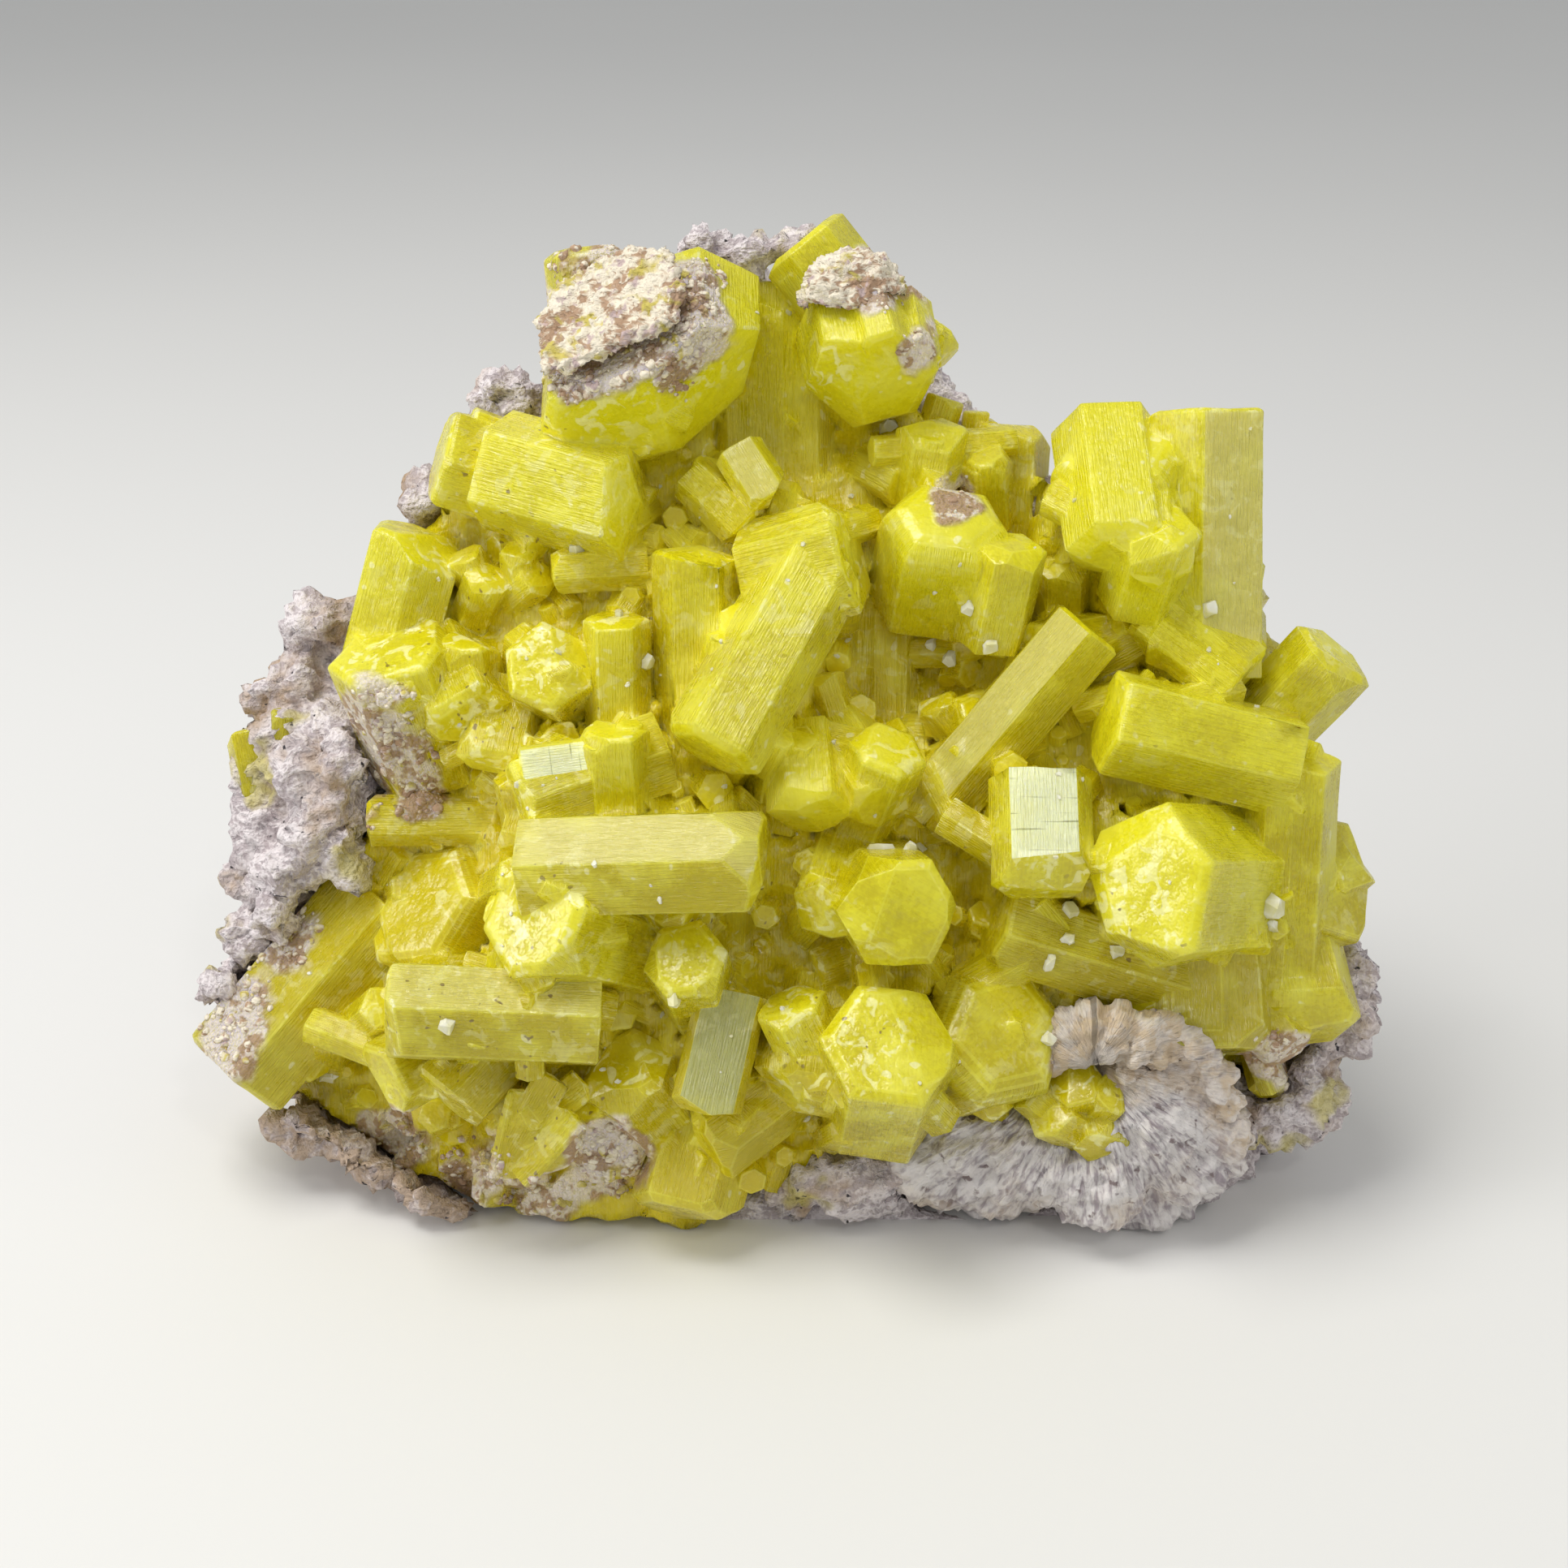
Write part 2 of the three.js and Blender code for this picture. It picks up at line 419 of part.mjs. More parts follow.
// Rounded knobs of the rock: x, up, out of the middle, then the three radii.
const ROCK_KNOBS = [
  [-17.6, 23.0, -2.8, 1.6, 1.5, 1.8],
  [-18.6, 20.4, -2.6, 1.8, 1.8, 2.0],
  [-16.6, 17.2, -0.4, 2.4, 2.4, 2.2],
  [-19.5, 17.5, -2.4, 1.6, 1.8, 1.8],
  [-19.2, 14.5, -2.0, 1.8, 1.9, 1.8],
  [-16.8, 15.0, 0.0, 2.0, 1.9, 1.8],
  [-10.4, 31.4, -1.4, 1.6, 1.3, 1.6],
  [-13.2, 27.6, -1.6, 1.4, 1.3, 1.6],
  [-1.8, 35.8, -1.8, 1.8, 1.1, 1.6],
  [10.0, 27.0, -1.2, 1.3, 1.3, 1.4],
  [21.0, 8.8, -1.4, 1.6, 2.3, 2.0],
  [19.0, 5.4, -1.6, 2.2, 2.2, 2.2],
  [16.8, 4.6, -1.8, 1.8, 1.8, 2.0],
  [2.3, 2.6, -1.0, 3.6, 1.8, 2.0],
  [-20.4, 8.2, -2.8, 1.6, 2.4, 2.2],
  [-17.8, 4.2, -2.2, 1.9, 1.6, 2.0],
  [-15.4, 3.2, -1.6, 1.9, 1.5, 1.8],
  [-12.6, 2.2, -1.2, 2.0, 1.5, 1.8],
  [-9.4, 1.5, -0.8, 2.0, 1.3, 1.8],
];

function knob([x, up, out, radiusX, radiusUp, radiusOut]) {
  const detail = Math.max(radiusX, radiusUp) < SMALL_KNOB ? 0 : 1;
  const geometry = new THREE.IcosahedronGeometry(1, detail);
  geometry.rotateZ(x * 0.7 + up);
  geometry.scale(radiusX, radiusUp, radiusOut);
  return solidOf(geometry.translate(x, up, out));
}

// ---- Fibrous nodule at the lower right: two lobes with ribs fanning from their middle ----
const NODULE_LOBES = [
  { x: 13.0, up: 4.2, out: -1.5, radii: [3.9, 4.2, 3.2], ribs: 11 },
  { x: 7.6, up: 3.0, out: -1.5, radii: [3.9, 2.2, 3.0], ribs: 9 },
];
const RIB_HEIGHT = 0.05; // as a part of the lobe's radius

function lobe({ x, up, out, radii, ribs }, margin) {
  const geometry = new THREE.SphereGeometry(1, 20, 7);
  geometry.rotateX(Math.PI / 2);
  const position = geometry.attributes.position;
  for (let i = 0; i < position.count; i += 1) {
    const angle = Math.atan2(position.getY(i), position.getX(i));
    const reach = Math.hypot(position.getX(i), position.getY(i));
    const swell = 1 + RIB_HEIGHT * reach * Math.cos(ribs * angle);
    position.setXY(i, position.getX(i) * swell, position.getY(i) * swell);
  }
  geometry.scale(radii[0] + margin, radii[1] + margin, radii[2] + margin);
  return solidOf(geometry.translate(x, up, out));
}

function noduleSolid(margin) {
  return joined(NODULE_LOBES.map((entry) => lobe(entry, margin)));
}

// ---- Pale crusts on the two crown blocks ----
// The crust's outline on the left block's wide face: along its axis, and across it.
const CROWN_CRUST_OUTLINE = [
  [-0.6, -2.7], [-0.3, -1.2], [-0.6, 0.6], [-1.0, 2.5], [-2.8, 2.9], [-4.9, 2.2],
  [-5.4, 0.5], [-5.0, -1.5], [-3.4, -2.9],
];
const CROWN_CRUST_THICKNESS = 0.7;
const CROWN_LUMP = [2.4, 34.2, 4.2, 2.0, 1.6, 1.4];

function crownCrustSolid() {
  const block = CRYSTALS.find((crystal) => crystal.name === "crown_left_block");
  const { along, across, square } = directionsOf(block.way);
  const shape = new THREE.Shape(CROWN_CRUST_OUTLINE.map(([x, y]) => new THREE.Vector2(x, y)));
  const edge = CROWN_CRUST_THICKNESS / 3;
  const geometry = new THREE.ExtrudeGeometry(shape, {
    depth: CROWN_CRUST_THICKNESS - 2 * edge,
    bevelSize: edge,
    bevelThickness: edge,
    bevelOffset: -edge,
    bevelSegments: 1,
  });
  const face = (1 + UNEVENNESS / 2) * (block.size[2] / 2) + SEAT_GAP + edge;
  geometry.translate(0, 0, face);
  geometry.applyMatrix4(new THREE.Matrix4().makeBasis(along, across, square));
  const place = placeOf(block.site);
  return solidOf(geometry.translate(place.x, place.y, place.z));
}

// ---- Assembly ----
const aroundCrystals = joined(crystalSolids(CRYSTALS, SEAT_GAP));
const rockSide = heightField(rockFace, 8, 7);
const rockSideBack = rockSide.translate([0, 0, -SEAT_GAP]);

function clusterSolid() {
  const plate = plateOf(CRUST_OUTLINE, CRUST_BACK, CRUST_LIMIT);
  const crust = plate.intersect(heightField(crustFront, 24, 22));
  const grown = joined([crust, ...crystalSolids(CRYSTALS, 0)]).subtract(rockSide);
  return largest(aboveFloor(grown, FLOOR_GAP));
}

// The room that the crystals and their crust take in the rock, with the gap round it.
function clusterRoom() {
  const crustRoom = plateOf(offsetOutline(CRUST_OUTLINE, SEAT_GAP), CRUST_BACK, CRUST_LIMIT);
  return crustRoom.add(aroundCrystals).subtract(rockSideBack);
}

function rockNode(room) {
    const fused = [...ROCK_KNOBS.map(knob), ...crystalSolids(ROCK_CRYSTALS, 0)];
  const body = joined([rockSolid(), ...fused]).subtract(room).subtract(noduleSolid(SEAT_GAP));
  return largest(aboveFloor(body, 0));
}

const room = clusterRoom();
const nodule = largest(aboveFloor(noduleSolid(0).subtract(room), FLOOR_GAP));
const noduleCrystals = joined(crystalSolids(NODULE_CRYSTALS, 0))
  .subtract(noduleSolid(SEAT_GAP))
  .subtract(room);

const NODES = [
  { name: "matrix_rock", solid: rockNode(room), color: 0xb8aeb0, roughness: 0.95 },
  { name: "crystal_cluster", solid: clusterSolid(), color: 0xd9cf3a, roughness: 0.35 },
  { name: "fibrous_nodule", solid: nodule, color: 0xc4b8b4, roughness: 0.9 },
  { name: "nodule_crystals", solid: noduleCrystals, color: 0xd2c640, roughness: 0.4 },
  {
    name: "crown_left_crust",
    solid: largest(crownCrustSolid().subtract(aroundCrystals)),
    color: 0xb49a8a,
    roughness: 0.95,
  },
  {
    name: "crown_right_lump",
    solid: largest(knob(CROWN_LUMP).subtract(aroundCrystals)),
    color: 0xc8bcbc,
    roughness: 0.95,
  },
];

const specimen = new THREE.Group();
specimen.name = "sturmanite_specimen";
specimen.rotation.x = Math.PI / 2 - radians(FACE_LEAN);
specimen.position.y = -FACE_FOOT;
for (const { name, solid, color, roughness } of NODES) {
  const material = new THREE.MeshStandardMaterial({ color, roughness, metalness: 0 });
  const mesh = new THREE.Mesh(geometryOf(solid), material);
  mesh.name = name;
  specimen.add(mesh);
}

export default specimen;
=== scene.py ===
"""Dresses a loose hand specimen: yellow sturmanite prisms grown together on their matrix.

Everything grown is laid out in the frame of the crystal-covered face, in millimetres (x to
the right, "up" along the face, "out" square to it), and then tipped into the world in metres.
"""
import logging
import math
import random
from dataclasses import dataclass, field, replace
from enum import Enum
from functools import cache
from typing import Callable, ClassVar, Sequence

import bmesh
import bpy
import numpy as np
from bmesh.types import BMEdge, BMesh, BMFace, BMVert
from bpy.types import Material, Node, NodeSocket, NodeTree, Object
from mathutils import Matrix, Vector, noise
from mathutils.bvhtree import BVHTree


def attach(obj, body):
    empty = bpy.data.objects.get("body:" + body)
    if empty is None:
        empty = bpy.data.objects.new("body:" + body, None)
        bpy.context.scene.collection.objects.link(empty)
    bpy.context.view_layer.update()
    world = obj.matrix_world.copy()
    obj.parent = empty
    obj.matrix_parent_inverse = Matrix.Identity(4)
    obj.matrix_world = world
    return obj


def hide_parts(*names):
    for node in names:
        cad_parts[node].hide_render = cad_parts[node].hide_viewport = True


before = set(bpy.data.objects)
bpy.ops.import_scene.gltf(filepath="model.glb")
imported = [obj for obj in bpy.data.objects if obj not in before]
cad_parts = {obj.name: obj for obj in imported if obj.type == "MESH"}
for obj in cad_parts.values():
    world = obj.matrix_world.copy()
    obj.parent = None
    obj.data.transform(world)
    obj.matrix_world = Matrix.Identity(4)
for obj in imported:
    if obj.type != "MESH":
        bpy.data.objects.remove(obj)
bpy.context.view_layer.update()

LOG = logging.getLogger("specimen")
MM = 0.001
FLAT_FOOT = 0.0002
GRAIN = "grain"
TINT = "tint"
PAINTED_RECESS_SHADE = "painted_recess_shade"
RIM = "rim"
SOIL = "soil"
FIBRE = "fibre"
Triple = tuple[float, float, float]
Reading = float | np.ndarray


@dataclass(frozen=True)
class FaceFrame:
    """The leaning, crystal-covered face, and the point its crystals are sighted from."""

    lean: float = 25.4
    foot: float = 10.0
    eye_distance: float = 81.0
    eye_level: float = 16.92

    def place(self, site: Triple) -> Vector:
        """Finds a sighted point's real place on the face.

        Args:
            site: Where it is sighted, and how far out it stands, in millimetres.

        Returns:
            The place as x, up and out in millimetres.
        """
        x, up, out = site
        nearness = 1 - out / self.eye_distance
        return Vector((x * nearness, self.eye_level + (up - self.eye_level) * nearness, out))

    def sighted(self, x: Reading, up: Reading, out: Reading) -> tuple[Reading, Reading]:
        """Returns the x and the up that places of the face are sighted at from the eye."""
        nearness = 1 - out / self.eye_distance
        return x / nearness, self.eye_level + (up - self.eye_level) / nearness

    def to_world(self) -> Matrix:
        """Returns the matrix from millimetres on the face to metres in the world."""
        tip = Matrix.Rotation(math.radians(90 - self.lean), 4, "X")
        return Matrix.Translation((0, -self.foot * MM, 0)) @ tip @ Matrix.Scale(MM, 4)


FACE = FaceFrame()


def wobble(seed: float, step: float) -> float:
    """Returns an even-handed pseudo-random number from -1 to 1, the same for the same seed."""
    value = math.sin(seed * 12.9898 + step * 78.233) * 43758.5453
    return 2 * (value - math.floor(value)) - 1


def ripple(x: float, y: float, z: float, pitch: float) -> float:
    """Returns a smooth lumpy field from -1 to 1.

    Args:
        x: First coordinate in millimetres.
        y: Second coordinate.
        z: Third coordinate.
        pitch: The lumps' spacing in millimetres over two pi.

    Returns:
        The field's value.
    """
    a = math.sin(x / pitch + 1.7 * math.sin(y / pitch + 0.4))
    b = math.sin(y / pitch + 1.3 * math.sin(z / pitch + 2.1))
    c = math.sin(z / pitch + 1.9 * math.sin(x / pitch + 4.0))
    return (a + b + c) / 3


def clamp(value: float, low: float = 0.0, high: float = 1.0) -> float:
    """Returns the value held between low and high."""
    return max(low, min(high, value))


def object_from(bm: BMesh, name: str, smooth: bool = True) -> Object:
    """Turns a bmesh into an object of the scene and frees it.

    Args:
        bm: The finished bmesh.
        name: The object's name.
        smooth: Whether its faces are shaded smooth.

    Returns:
        The new object, at the origin.
    """
    mesh = bpy.data.meshes.new(name)
    for face in bm.faces:
        face.smooth = smooth
    bm.to_mesh(mesh)
    bm.free()
    thing = bpy.data.objects.new(name, mesh)
    bpy.context.scene.collection.objects.link(thing)
    return thing


def settle(thing: Object) -> None:
    """Applies an object's modifiers to its mesh.

    Args:
        thing: The object, which keeps its name and loses its modifiers.
    """
    bpy.context.view_layer.update()
    graph = bpy.context.evaluated_depsgraph_get()
    mesh = bpy.data.meshes.new_from_object(
        thing.evaluated_get(graph), preserve_all_data_layers=True, depsgraph=graph
    )
    thing.modifiers.clear()
    old = thing.data
    mesh.name = old.name
    thing.data = mesh
    bpy.data.meshes.remove(old)


def fuse(things: Sequence[Object]) -> Object:
    """Joins closed, overlapping objects into the first one as a single skin.

    Args:
        things: The objects, each of one closed mesh.

    Returns:
        The first object, which holds the joined mesh. The others are gone.
    """
    first, *rest = things
    if not rest:
        return first
    bench = bpy.data.collections.new("bench")
    bpy.context.scene.collection.children.link(bench)
    for thing in rest:
        bpy.context.scene.collection.objects.unlink(thing)
        bench.objects.link(thing)
    join = first.modifiers.new("join", "BOOLEAN")
    join.operation = "UNION"
    join.operand_type = "COLLECTION"
    join.collection = bench
    join.solver = "MANIFOLD"
    settle(first)
    for thing in rest:
        spent = thing.data
        bpy.data.objects.remove(thing)
        bpy.data.meshes.remove(spent)
    bpy.data.collections.remove(bench)
    return first


def weight_normals(thing: Object) -> None:
    """Keeps broad faces flat in the shading, so only their rounded edges turn.

    Args:
        thing: The object to shade.
    """
    for polygon in thing.data.polygons:
        polygon.use_smooth = True
    weigh = thing.modifiers.new("weigh", "WEIGHTED_NORMAL")
    weigh.weight = 50
    weigh.keep_sharp = True
    settle(thing)


def coat(thing: Object, material: Material) -> None:
    """Gives an object one material."""
    thing.data.materials.clear()
    thing.data.materials.append(material)


def trim(bm: BMesh, point: Vector, normal: Vector) -> None:
    """Cuts away what lies beyond a plane and closes the cut.

    Args:
        bm: The closed mesh.
        point: A point of the plane.
        normal: The side of the plane that goes.
    """
    geometry = bm.verts[:] + bm.edges[:] + bm.faces[:]
    bmesh.ops.bisect_plane(bm, geom=geometry, plane_co=point, plane_no=normal, clear_outer=True)
    close(bm)


def round_off(bm: BMesh, edges: list[BMEdge], offset: float, segments: int) -> list[BMFace]:
    """Rounds edges over.

    Args:
        bm: The mesh.
        edges: Its edges to round.
        offset: How far the rounding reaches from each.
        segments: How finely it is rounded.

    Returns:
        The new faces.
    """
    return bmesh.ops.bevel(
        bm, geom=edges, offset=offset, segments=segments, profile=0.5,
        affect="EDGES", material=-1, clamp_overlap=True,
    )["faces"]


def facing(way: Vector, axis: str = "Z") -> Matrix:
    """Returns the turn that points one of a thing's axes a given way."""
    return way.to_track_quat(axis, "Y").to_matrix().to_4x4()


def close(bm: BMesh) -> None:
    """Fills a mesh's open borders."""
    bmesh.ops.holes_fill(bm, edges=[edge for edge in bm.edges if edge.is_boundary], sides=0)


def layered(place: Vector, *layers: tuple[float, float]) -> float:
    """Adds up layers of noise at a place, each given by its height and how fine it is."""
    return sum(height * noise.noise(place * fineness) for height, fineness in layers)


def corners_of(thing: Object) -> np.ndarray:
    """Reads where a mesh's points are.

    Args:
        thing: The mesh's object.

    Returns:
        A row of x, y, z for each point.
    """
    places = np.empty(len(thing.data.vertices) * 3)
    thing.data.vertices.foreach_get("co", places)
    return places.reshape(-1, 3)


def note(thing: Object, name: str, values: np.ndarray) -> None:
    """Writes a number, held between 0 and 1, at each of a mesh's points."""
    layer = thing.data.attributes.new(name, "FLOAT", "POINT")
    layer.data.foreach_set("value", np.clip(values, 0.0, 1.0))


# ---- Crystals ----


@dataclass(frozen=True)
class Prism:
    """A six-sided prism, given by its end face as it is sighted.

    Fields: the middle of the end face (x, up, out), which way it points (turn from x, lift
    off the face, roll), its size (length, corner to corner, flat to flat) and its bevel.
    """

    name: str
    site: Triple
    way: Triple
    size: Triple
    bevel: float

    def basis(self) -> Matrix:
        """Finds how the prism lies.

        Returns:
            The matrix from the prism's own frame (z along it) to the face's.
        """
        turn, lift, roll = (math.radians(angle) for angle in self.way)
        level = math.cos(lift)
        along = Vector((math.cos(turn) * level, math.sin(turn) * level, math.sin(lift)))
        flat = (Vector((0, 0, 1)) - along * along.z).normalized()
        side = flat.cross(along)
        across = side * math.cos(roll) + flat * math.sin(roll)
        square = flat * math.cos(roll) - side * math.sin(roll)
        turned = Matrix((across, square, along)).transposed().to_4x4()
        return Matrix.Translation(FACE.place(self.site)) @ turned

    def section(self) -> list[tuple[float, float]]:
        """Lays out its cross-section.

        Returns:
            The six corners, counter-clockwise.
        """
        width, thickness = self.size[1:]
        flat_half = (width - thickness / math.sqrt(3)) / 2
        point, deep = width / 2, thickness / 2
        return [
            (point, 0), (flat_half, deep), (-flat_half, deep),
            (-point, 0), (-flat_half, -deep), (flat_half, -deep),
        ]


CRYSTALS: tuple[Prism, ...] = (
    # Crown: two big blocks, the plate between them and what flanks them.
    Prism("crown_left_block", (-5.1, 30.4, 4.5), (-88, 33, 21), (5.2, 8.4, 4.3), 0.4),
    Prism("crown_left_corner", (-7.1, 36.7, 1.6), (94, 8, 0), (6.0, 3.8, 3.0), 0.5),
    Prism("crown_plate", (-0.4, 35.4, 0.6), (90, 4, 0), (10.5, 4.6, 2.2), 0.2),
    Prism("crown_right_block", (3.4, 31.4, 4.0), (-80, 30, 8), (3.4, 4.8, 4.2), 0.5),
    Prism("crown_right_peak", (0.6, 37.0, 2.2), (129, 10, 0), (6.6, 3.5, 3.2), 0.3),
    Prism("crown_right_step", (5.5, 32.4, 2.6), (-40, 18, 20), (3.0, 2.6, 2.2), 0.2),
    Prism("shoulder_tip", (6.0, 31.2, 0.8), (72, 12, 0), (3.2, 1.5, 1.3), 0.1),
    Prism("shoulder_nub", (7.1, 30.7, 0.2), (85, 10, 30), (3.0, 1.1, 1.0), 0.1),
    Prism("shoulder_block", (8.3, 30.2, -0.3), (88, 8, 0), (6.5, 3.4, 3.0), 0.2),
    Prism("shoulder_middle", (5.6, 30.3, 2.8), (80, 30, 0), (3.4, 2.6, 2.2), 0.2),
    Prism("shoulder_low", (7.4, 29.2, 2.4), (100, 40, 0), (3.0, 2.0, 1.7), 0.2),
    Prism("shoulder_flake", (3.2, 29.2, 2.4), (186, 12, 0), (5.4, 1.2, 1.0), 0.1),
    # Left arm below the crown.
    Prism("left_arm_end", (-12.9, 29.2, 1.6), (165, 18, 20), (6.6, 3.9, 3.3), 0.3),
    Prism("left_arm_body", (-5.3, 27.0, 3.2), (-17, 16, 6), (5.8, 4.5, 3.6), 0.2),
    Prism("left_arm_stub_a", (-11.9, 25.4, 1.6), (120, 35, 0), (3.0, 1.6, 1.4), 0.1),
    Prism("left_arm_stub_b", (-10.9, 24.6, 2.0), (60, 45, 20), (3.0, 1.7, 1.4), 0.1),
    Prism("left_arm_stub_c", (-9.8, 25.6, 2.2), (90, 40, 10), (3.0, 1.5, 1.3), 0.1),
    Prism("left_arm_stub_d", (-9.0, 24.6, 2.2), (30, 50, 0), (3.0, 1.5, 1.3), 0.1),
    # Upper middle.
    Prism("middle_pale_chip", (-0.5, 27.3, 3.6), (-59, 10, 0), (2.3, 2.0, 1.5), 0.1),
    Prism("middle_ribbed_stub", (-1.4, 26.3, 3.0), (-45, 12, 0), (2.8, 1.9, 1.6), 0.1),
    Prism("middle_upright", (-3.2, 25.6, 3.8), (90, 16, 0), (7.0, 3.2, 2.8), 0.2),
    Prism("middle_brick", (2.5, 25.4, 4.4), (12, 20, 0), (3.8, 4.1, 3.2), 0.2),
    Prism("round_head", (6.3, 27.4, 5.0), (80, 50, 0), (5.0, 4.9, 3.9), 1.1),
    Prism("round_head_neighbour", (8.4, 25.8, 4.6), (80, 30, 10), (3.8, 2.8, 2.4), 0.3),
    # Right tower.
    Prism("tower_upright", (15.5, 30.7, 2.6), (91, 6, 19), (9.5, 4.6, 4.0), 0.2),
    Prism("tower_round_end", (12.3, 29.9, 4.2), (100, 45, 0), (7.5, 4.9, 4.0), 1.0),
    Prism("tower_body", (12.5, 25.3, 4.8), (-88, 30, 0), (5.6, 4.2, 3.4), 0.6),
    Prism("tower_knob", (13.9, 26.6, 5.4), (80, 45, 0), (3.6, 3.0, 2.6), 0.3),
    Prism("tower_chip", (14.1, 25.2, 5.6), (-60, 60, 0), (3.0, 2.6, 2.0), 0.3),
    Prism("tower_foot", (17.0, 25.6, 3.0), (85, 25, 0), (3.8, 1.7, 1.5), 0.2),
    Prism("tower_pale_stub", (10.2, 25.3, 2.2), (95, 38, 0), (4.0, 2.4, 2.1), 0.1),
    # Long slanting prism and what lies about it.
    Prism("slanting_prism", (11.3, 22.7, 3.8), (50, 10, 30), (9.0, 3.1, 2.7), 0.2),
    Prism("hollow_plate", (3.6, 24.0, 0.8), (90, 4, 0), (6.5, 2.7, 1.6), 0.1),
    Prism("hollow_blade", (1.5, 21.0, 3.0), (108, 12, 0), (3.8, 1.4, 1.2), 0.1),
    Prism("hollow_stub_a", (5.5, 20.0, 2.6), (130, 30, 0), (3.0, 1.6, 1.4), 0.1),
    Prism("hollow_stub_b", (7.6, 19.5, 3.0), (60, 50, 0), (3.4, 2.6, 2.2), 0.3),
    Prism("hollow_shard", (7.2, 18.0, 3.2), (200, 20, 0), (2.4, 1.6, 0.8), 0.1),
    Prism("hollow_sliver", (6.3, 15.4, 3.8), (-62, 12, 0), (2.4, 1.0, 0.8), 0.1),
    # Left shoulder.
    Prism("left_peak", (-13.4, 26.2, 1.6), (72, 16, 40), (5.0, 3.7, 3.2), 0.3),
    Prism("left_hexagon", (-14.6, 22.0, 2.8), (105, 38, 0), (5.5, 4.7, 3.8), 0.3),
    Prism("left_small_top", (-11.7, 22.3, 2.6), (92, 30, 0), (3.2, 2.3, 1.9), 0.2),
    Prism("left_block", (-8.8, 21.3, 4.2), (120, 74, 8), (4.2, 3.4, 3.0), 0.3),
    Prism("left_facet_prism", (-9.8, 16.2, 4.6), (200, 14, 28), (5.4, 3.4, 2.9), 0.2),
    Prism("left_bright_facet", (-9.75, 17.5, 5.3), (188, 8, 4), (2.9, 1.6, 0.8), 0.1),
    Prism("left_ledge", (-15.4, 15.6, 1.0), (180, 6, 0), (5.0, 1.9, 1.6), 0.1),
    Prism("centre_left_upright", (-6.2, 23.1, 3.6), (90, 16, 0), (5.2, 2.5, 2.2), 0.2),
    Prism("centre_left_tablet", (-8.6, 24.8, 2.8), (184, 8, 0), (3.4, 1.7, 1.5), 0.1),
    Prism("centre_left_block", (-6.3, 19.0, 5.3), (92, 25, 0), (3.4, 2.5, 2.1), 0.2),
    Prism("flaky_mass", (-11.6, 19.2, 3.0), (-60, 40, 0), (4.0, 3.4, 2.4), 0.4),
    Prism("flaky_foot", (-10.8, 17.6, 3.2), (-100, 30, 0), (3.4, 2.8, 1.6), 0.3),
    # Big diagonal prism and the stubs at its foot.
    Prism("big_diagonal", (-2.7, 18.0, 6.0), (-119, 16, 0), (8.0, 3.8, 3.2), 0.4),
    Prism("centre_stub_a", (0.3, 19.0, 4.4), (80, 30, 0), (3.8, 2.5, 2.1), 0.2),
    Prism("centre_stub_b", (1.0, 15.7, 5.0), (-85, 35, 0), (3.4, 3.0, 2.5), 0.3),
    Prism("centre_stub_c", (3.9, 18.3, 5.2), (70, 45, 0), (4.2, 2.8, 2.4), 0.3),
    Prism("centre_stub_d", (3.7, 16.2, 4.8), (-60, 40, 0), (3.8, 2.6, 2.2), 0.2),
    # Right flank.
    Prism("right_brick", (11.9, 19.3, 4.6), (167, 10, 10), (6.8, 3.9, 3.3), 0.2),
    Prism("right_upper_brick", (16.9, 20.6, 3.2), (-40, 14, 10), (4.2, 3.2, 2.7), 0.2),
    Prism("right_upper_end", (20.4, 21.8, 2.4), (50, 25, 0), (5.2, 3.4, 3.0), 0.3),
    Prism("right_upright", (18.6, 18.0, 3.0), (90, 14, 0), (9.6, 3.7, 3.1), 0.3),
    Prism("right_small_facet", (15.9, 16.7, 3.6), (-70, 20, 0), (2.6, 2.2, 1.7), 0.1),
    Prism("right_mirror_facet", (9.6, 13.0, 5.8), (-90, 18, 0), (4.0, 3.8, 2.6), 0.3),
    Prism("great_hexagon", (13.15, 13.1, 6.9), (178, 53, -12), (6.0, 5.7, 4.7), 0.35),
    Prism("great_hexagon_slab", (15.1, 10.6, 3.9), (-90, 30, 0), (5.4, 5.4, 2.6), 0.15),
    Prism("right_rough", (20.6, 13.6, 1.8), (20, 50, 0), (5.4, 5.0, 3.6), 0.3),
    Prism("right_broken", (19.4, 7.8, 2.0), (-82, 30, 0), (6.0, 4.2, 3.2), 0.4),
    Prism("right_lower_chip", (18.6, 7.0, 2.2), (-60, 30, 0), (3.0, 2.4, 2.0), 0.2),
    Prism("right_dark_face", (15.6, 7.0, 2.4), (-88, 12, 0), (7.0, 5.2, 3.2), 0.2),
    Prism("right_small_stub", (18.0, 5.6, 0.2), (-85, 40, 0), (3.2, 1.6, 1.4), 0.2),
    Prism("right_lower_prism", (7.8, 11.8, 3.6), (163, 12, 20), (7.2, 3.2, 2.8), 0.2),
    # Lower middle.
    Prism("long_prism", (-0.7, 14.1, 6.4), (2, 9, 28), (8.4, 3.9, 3.3), 0.3),
    Prism("under_long_stub", (-3.2, 11.8, 4.4), (-30, 30, 0), (2.8, 2.4, 2.0), 0.2),
    Prism("lower_hexagon", (-3.7, 10.5, 5.6), (100, 66, 0), (4.6, 3.1, 2.7), 0.3),
    Prism("centre_hexagon", (4.4, 12.2, 6.4), (-40, 76, 10), (5.0, 4.3, 3.7), 0.35),
    Prism("centre_hexagon_stub", (1.7, 11.9, 5.4), (-110, 50, 0), (4.0, 2.8, 2.0), 0.3),
    Prism("lower_tilted", (0.2, 8.9, 4.8), (115, 24, 0), (3.6, 2.6, 2.2), 0.2),
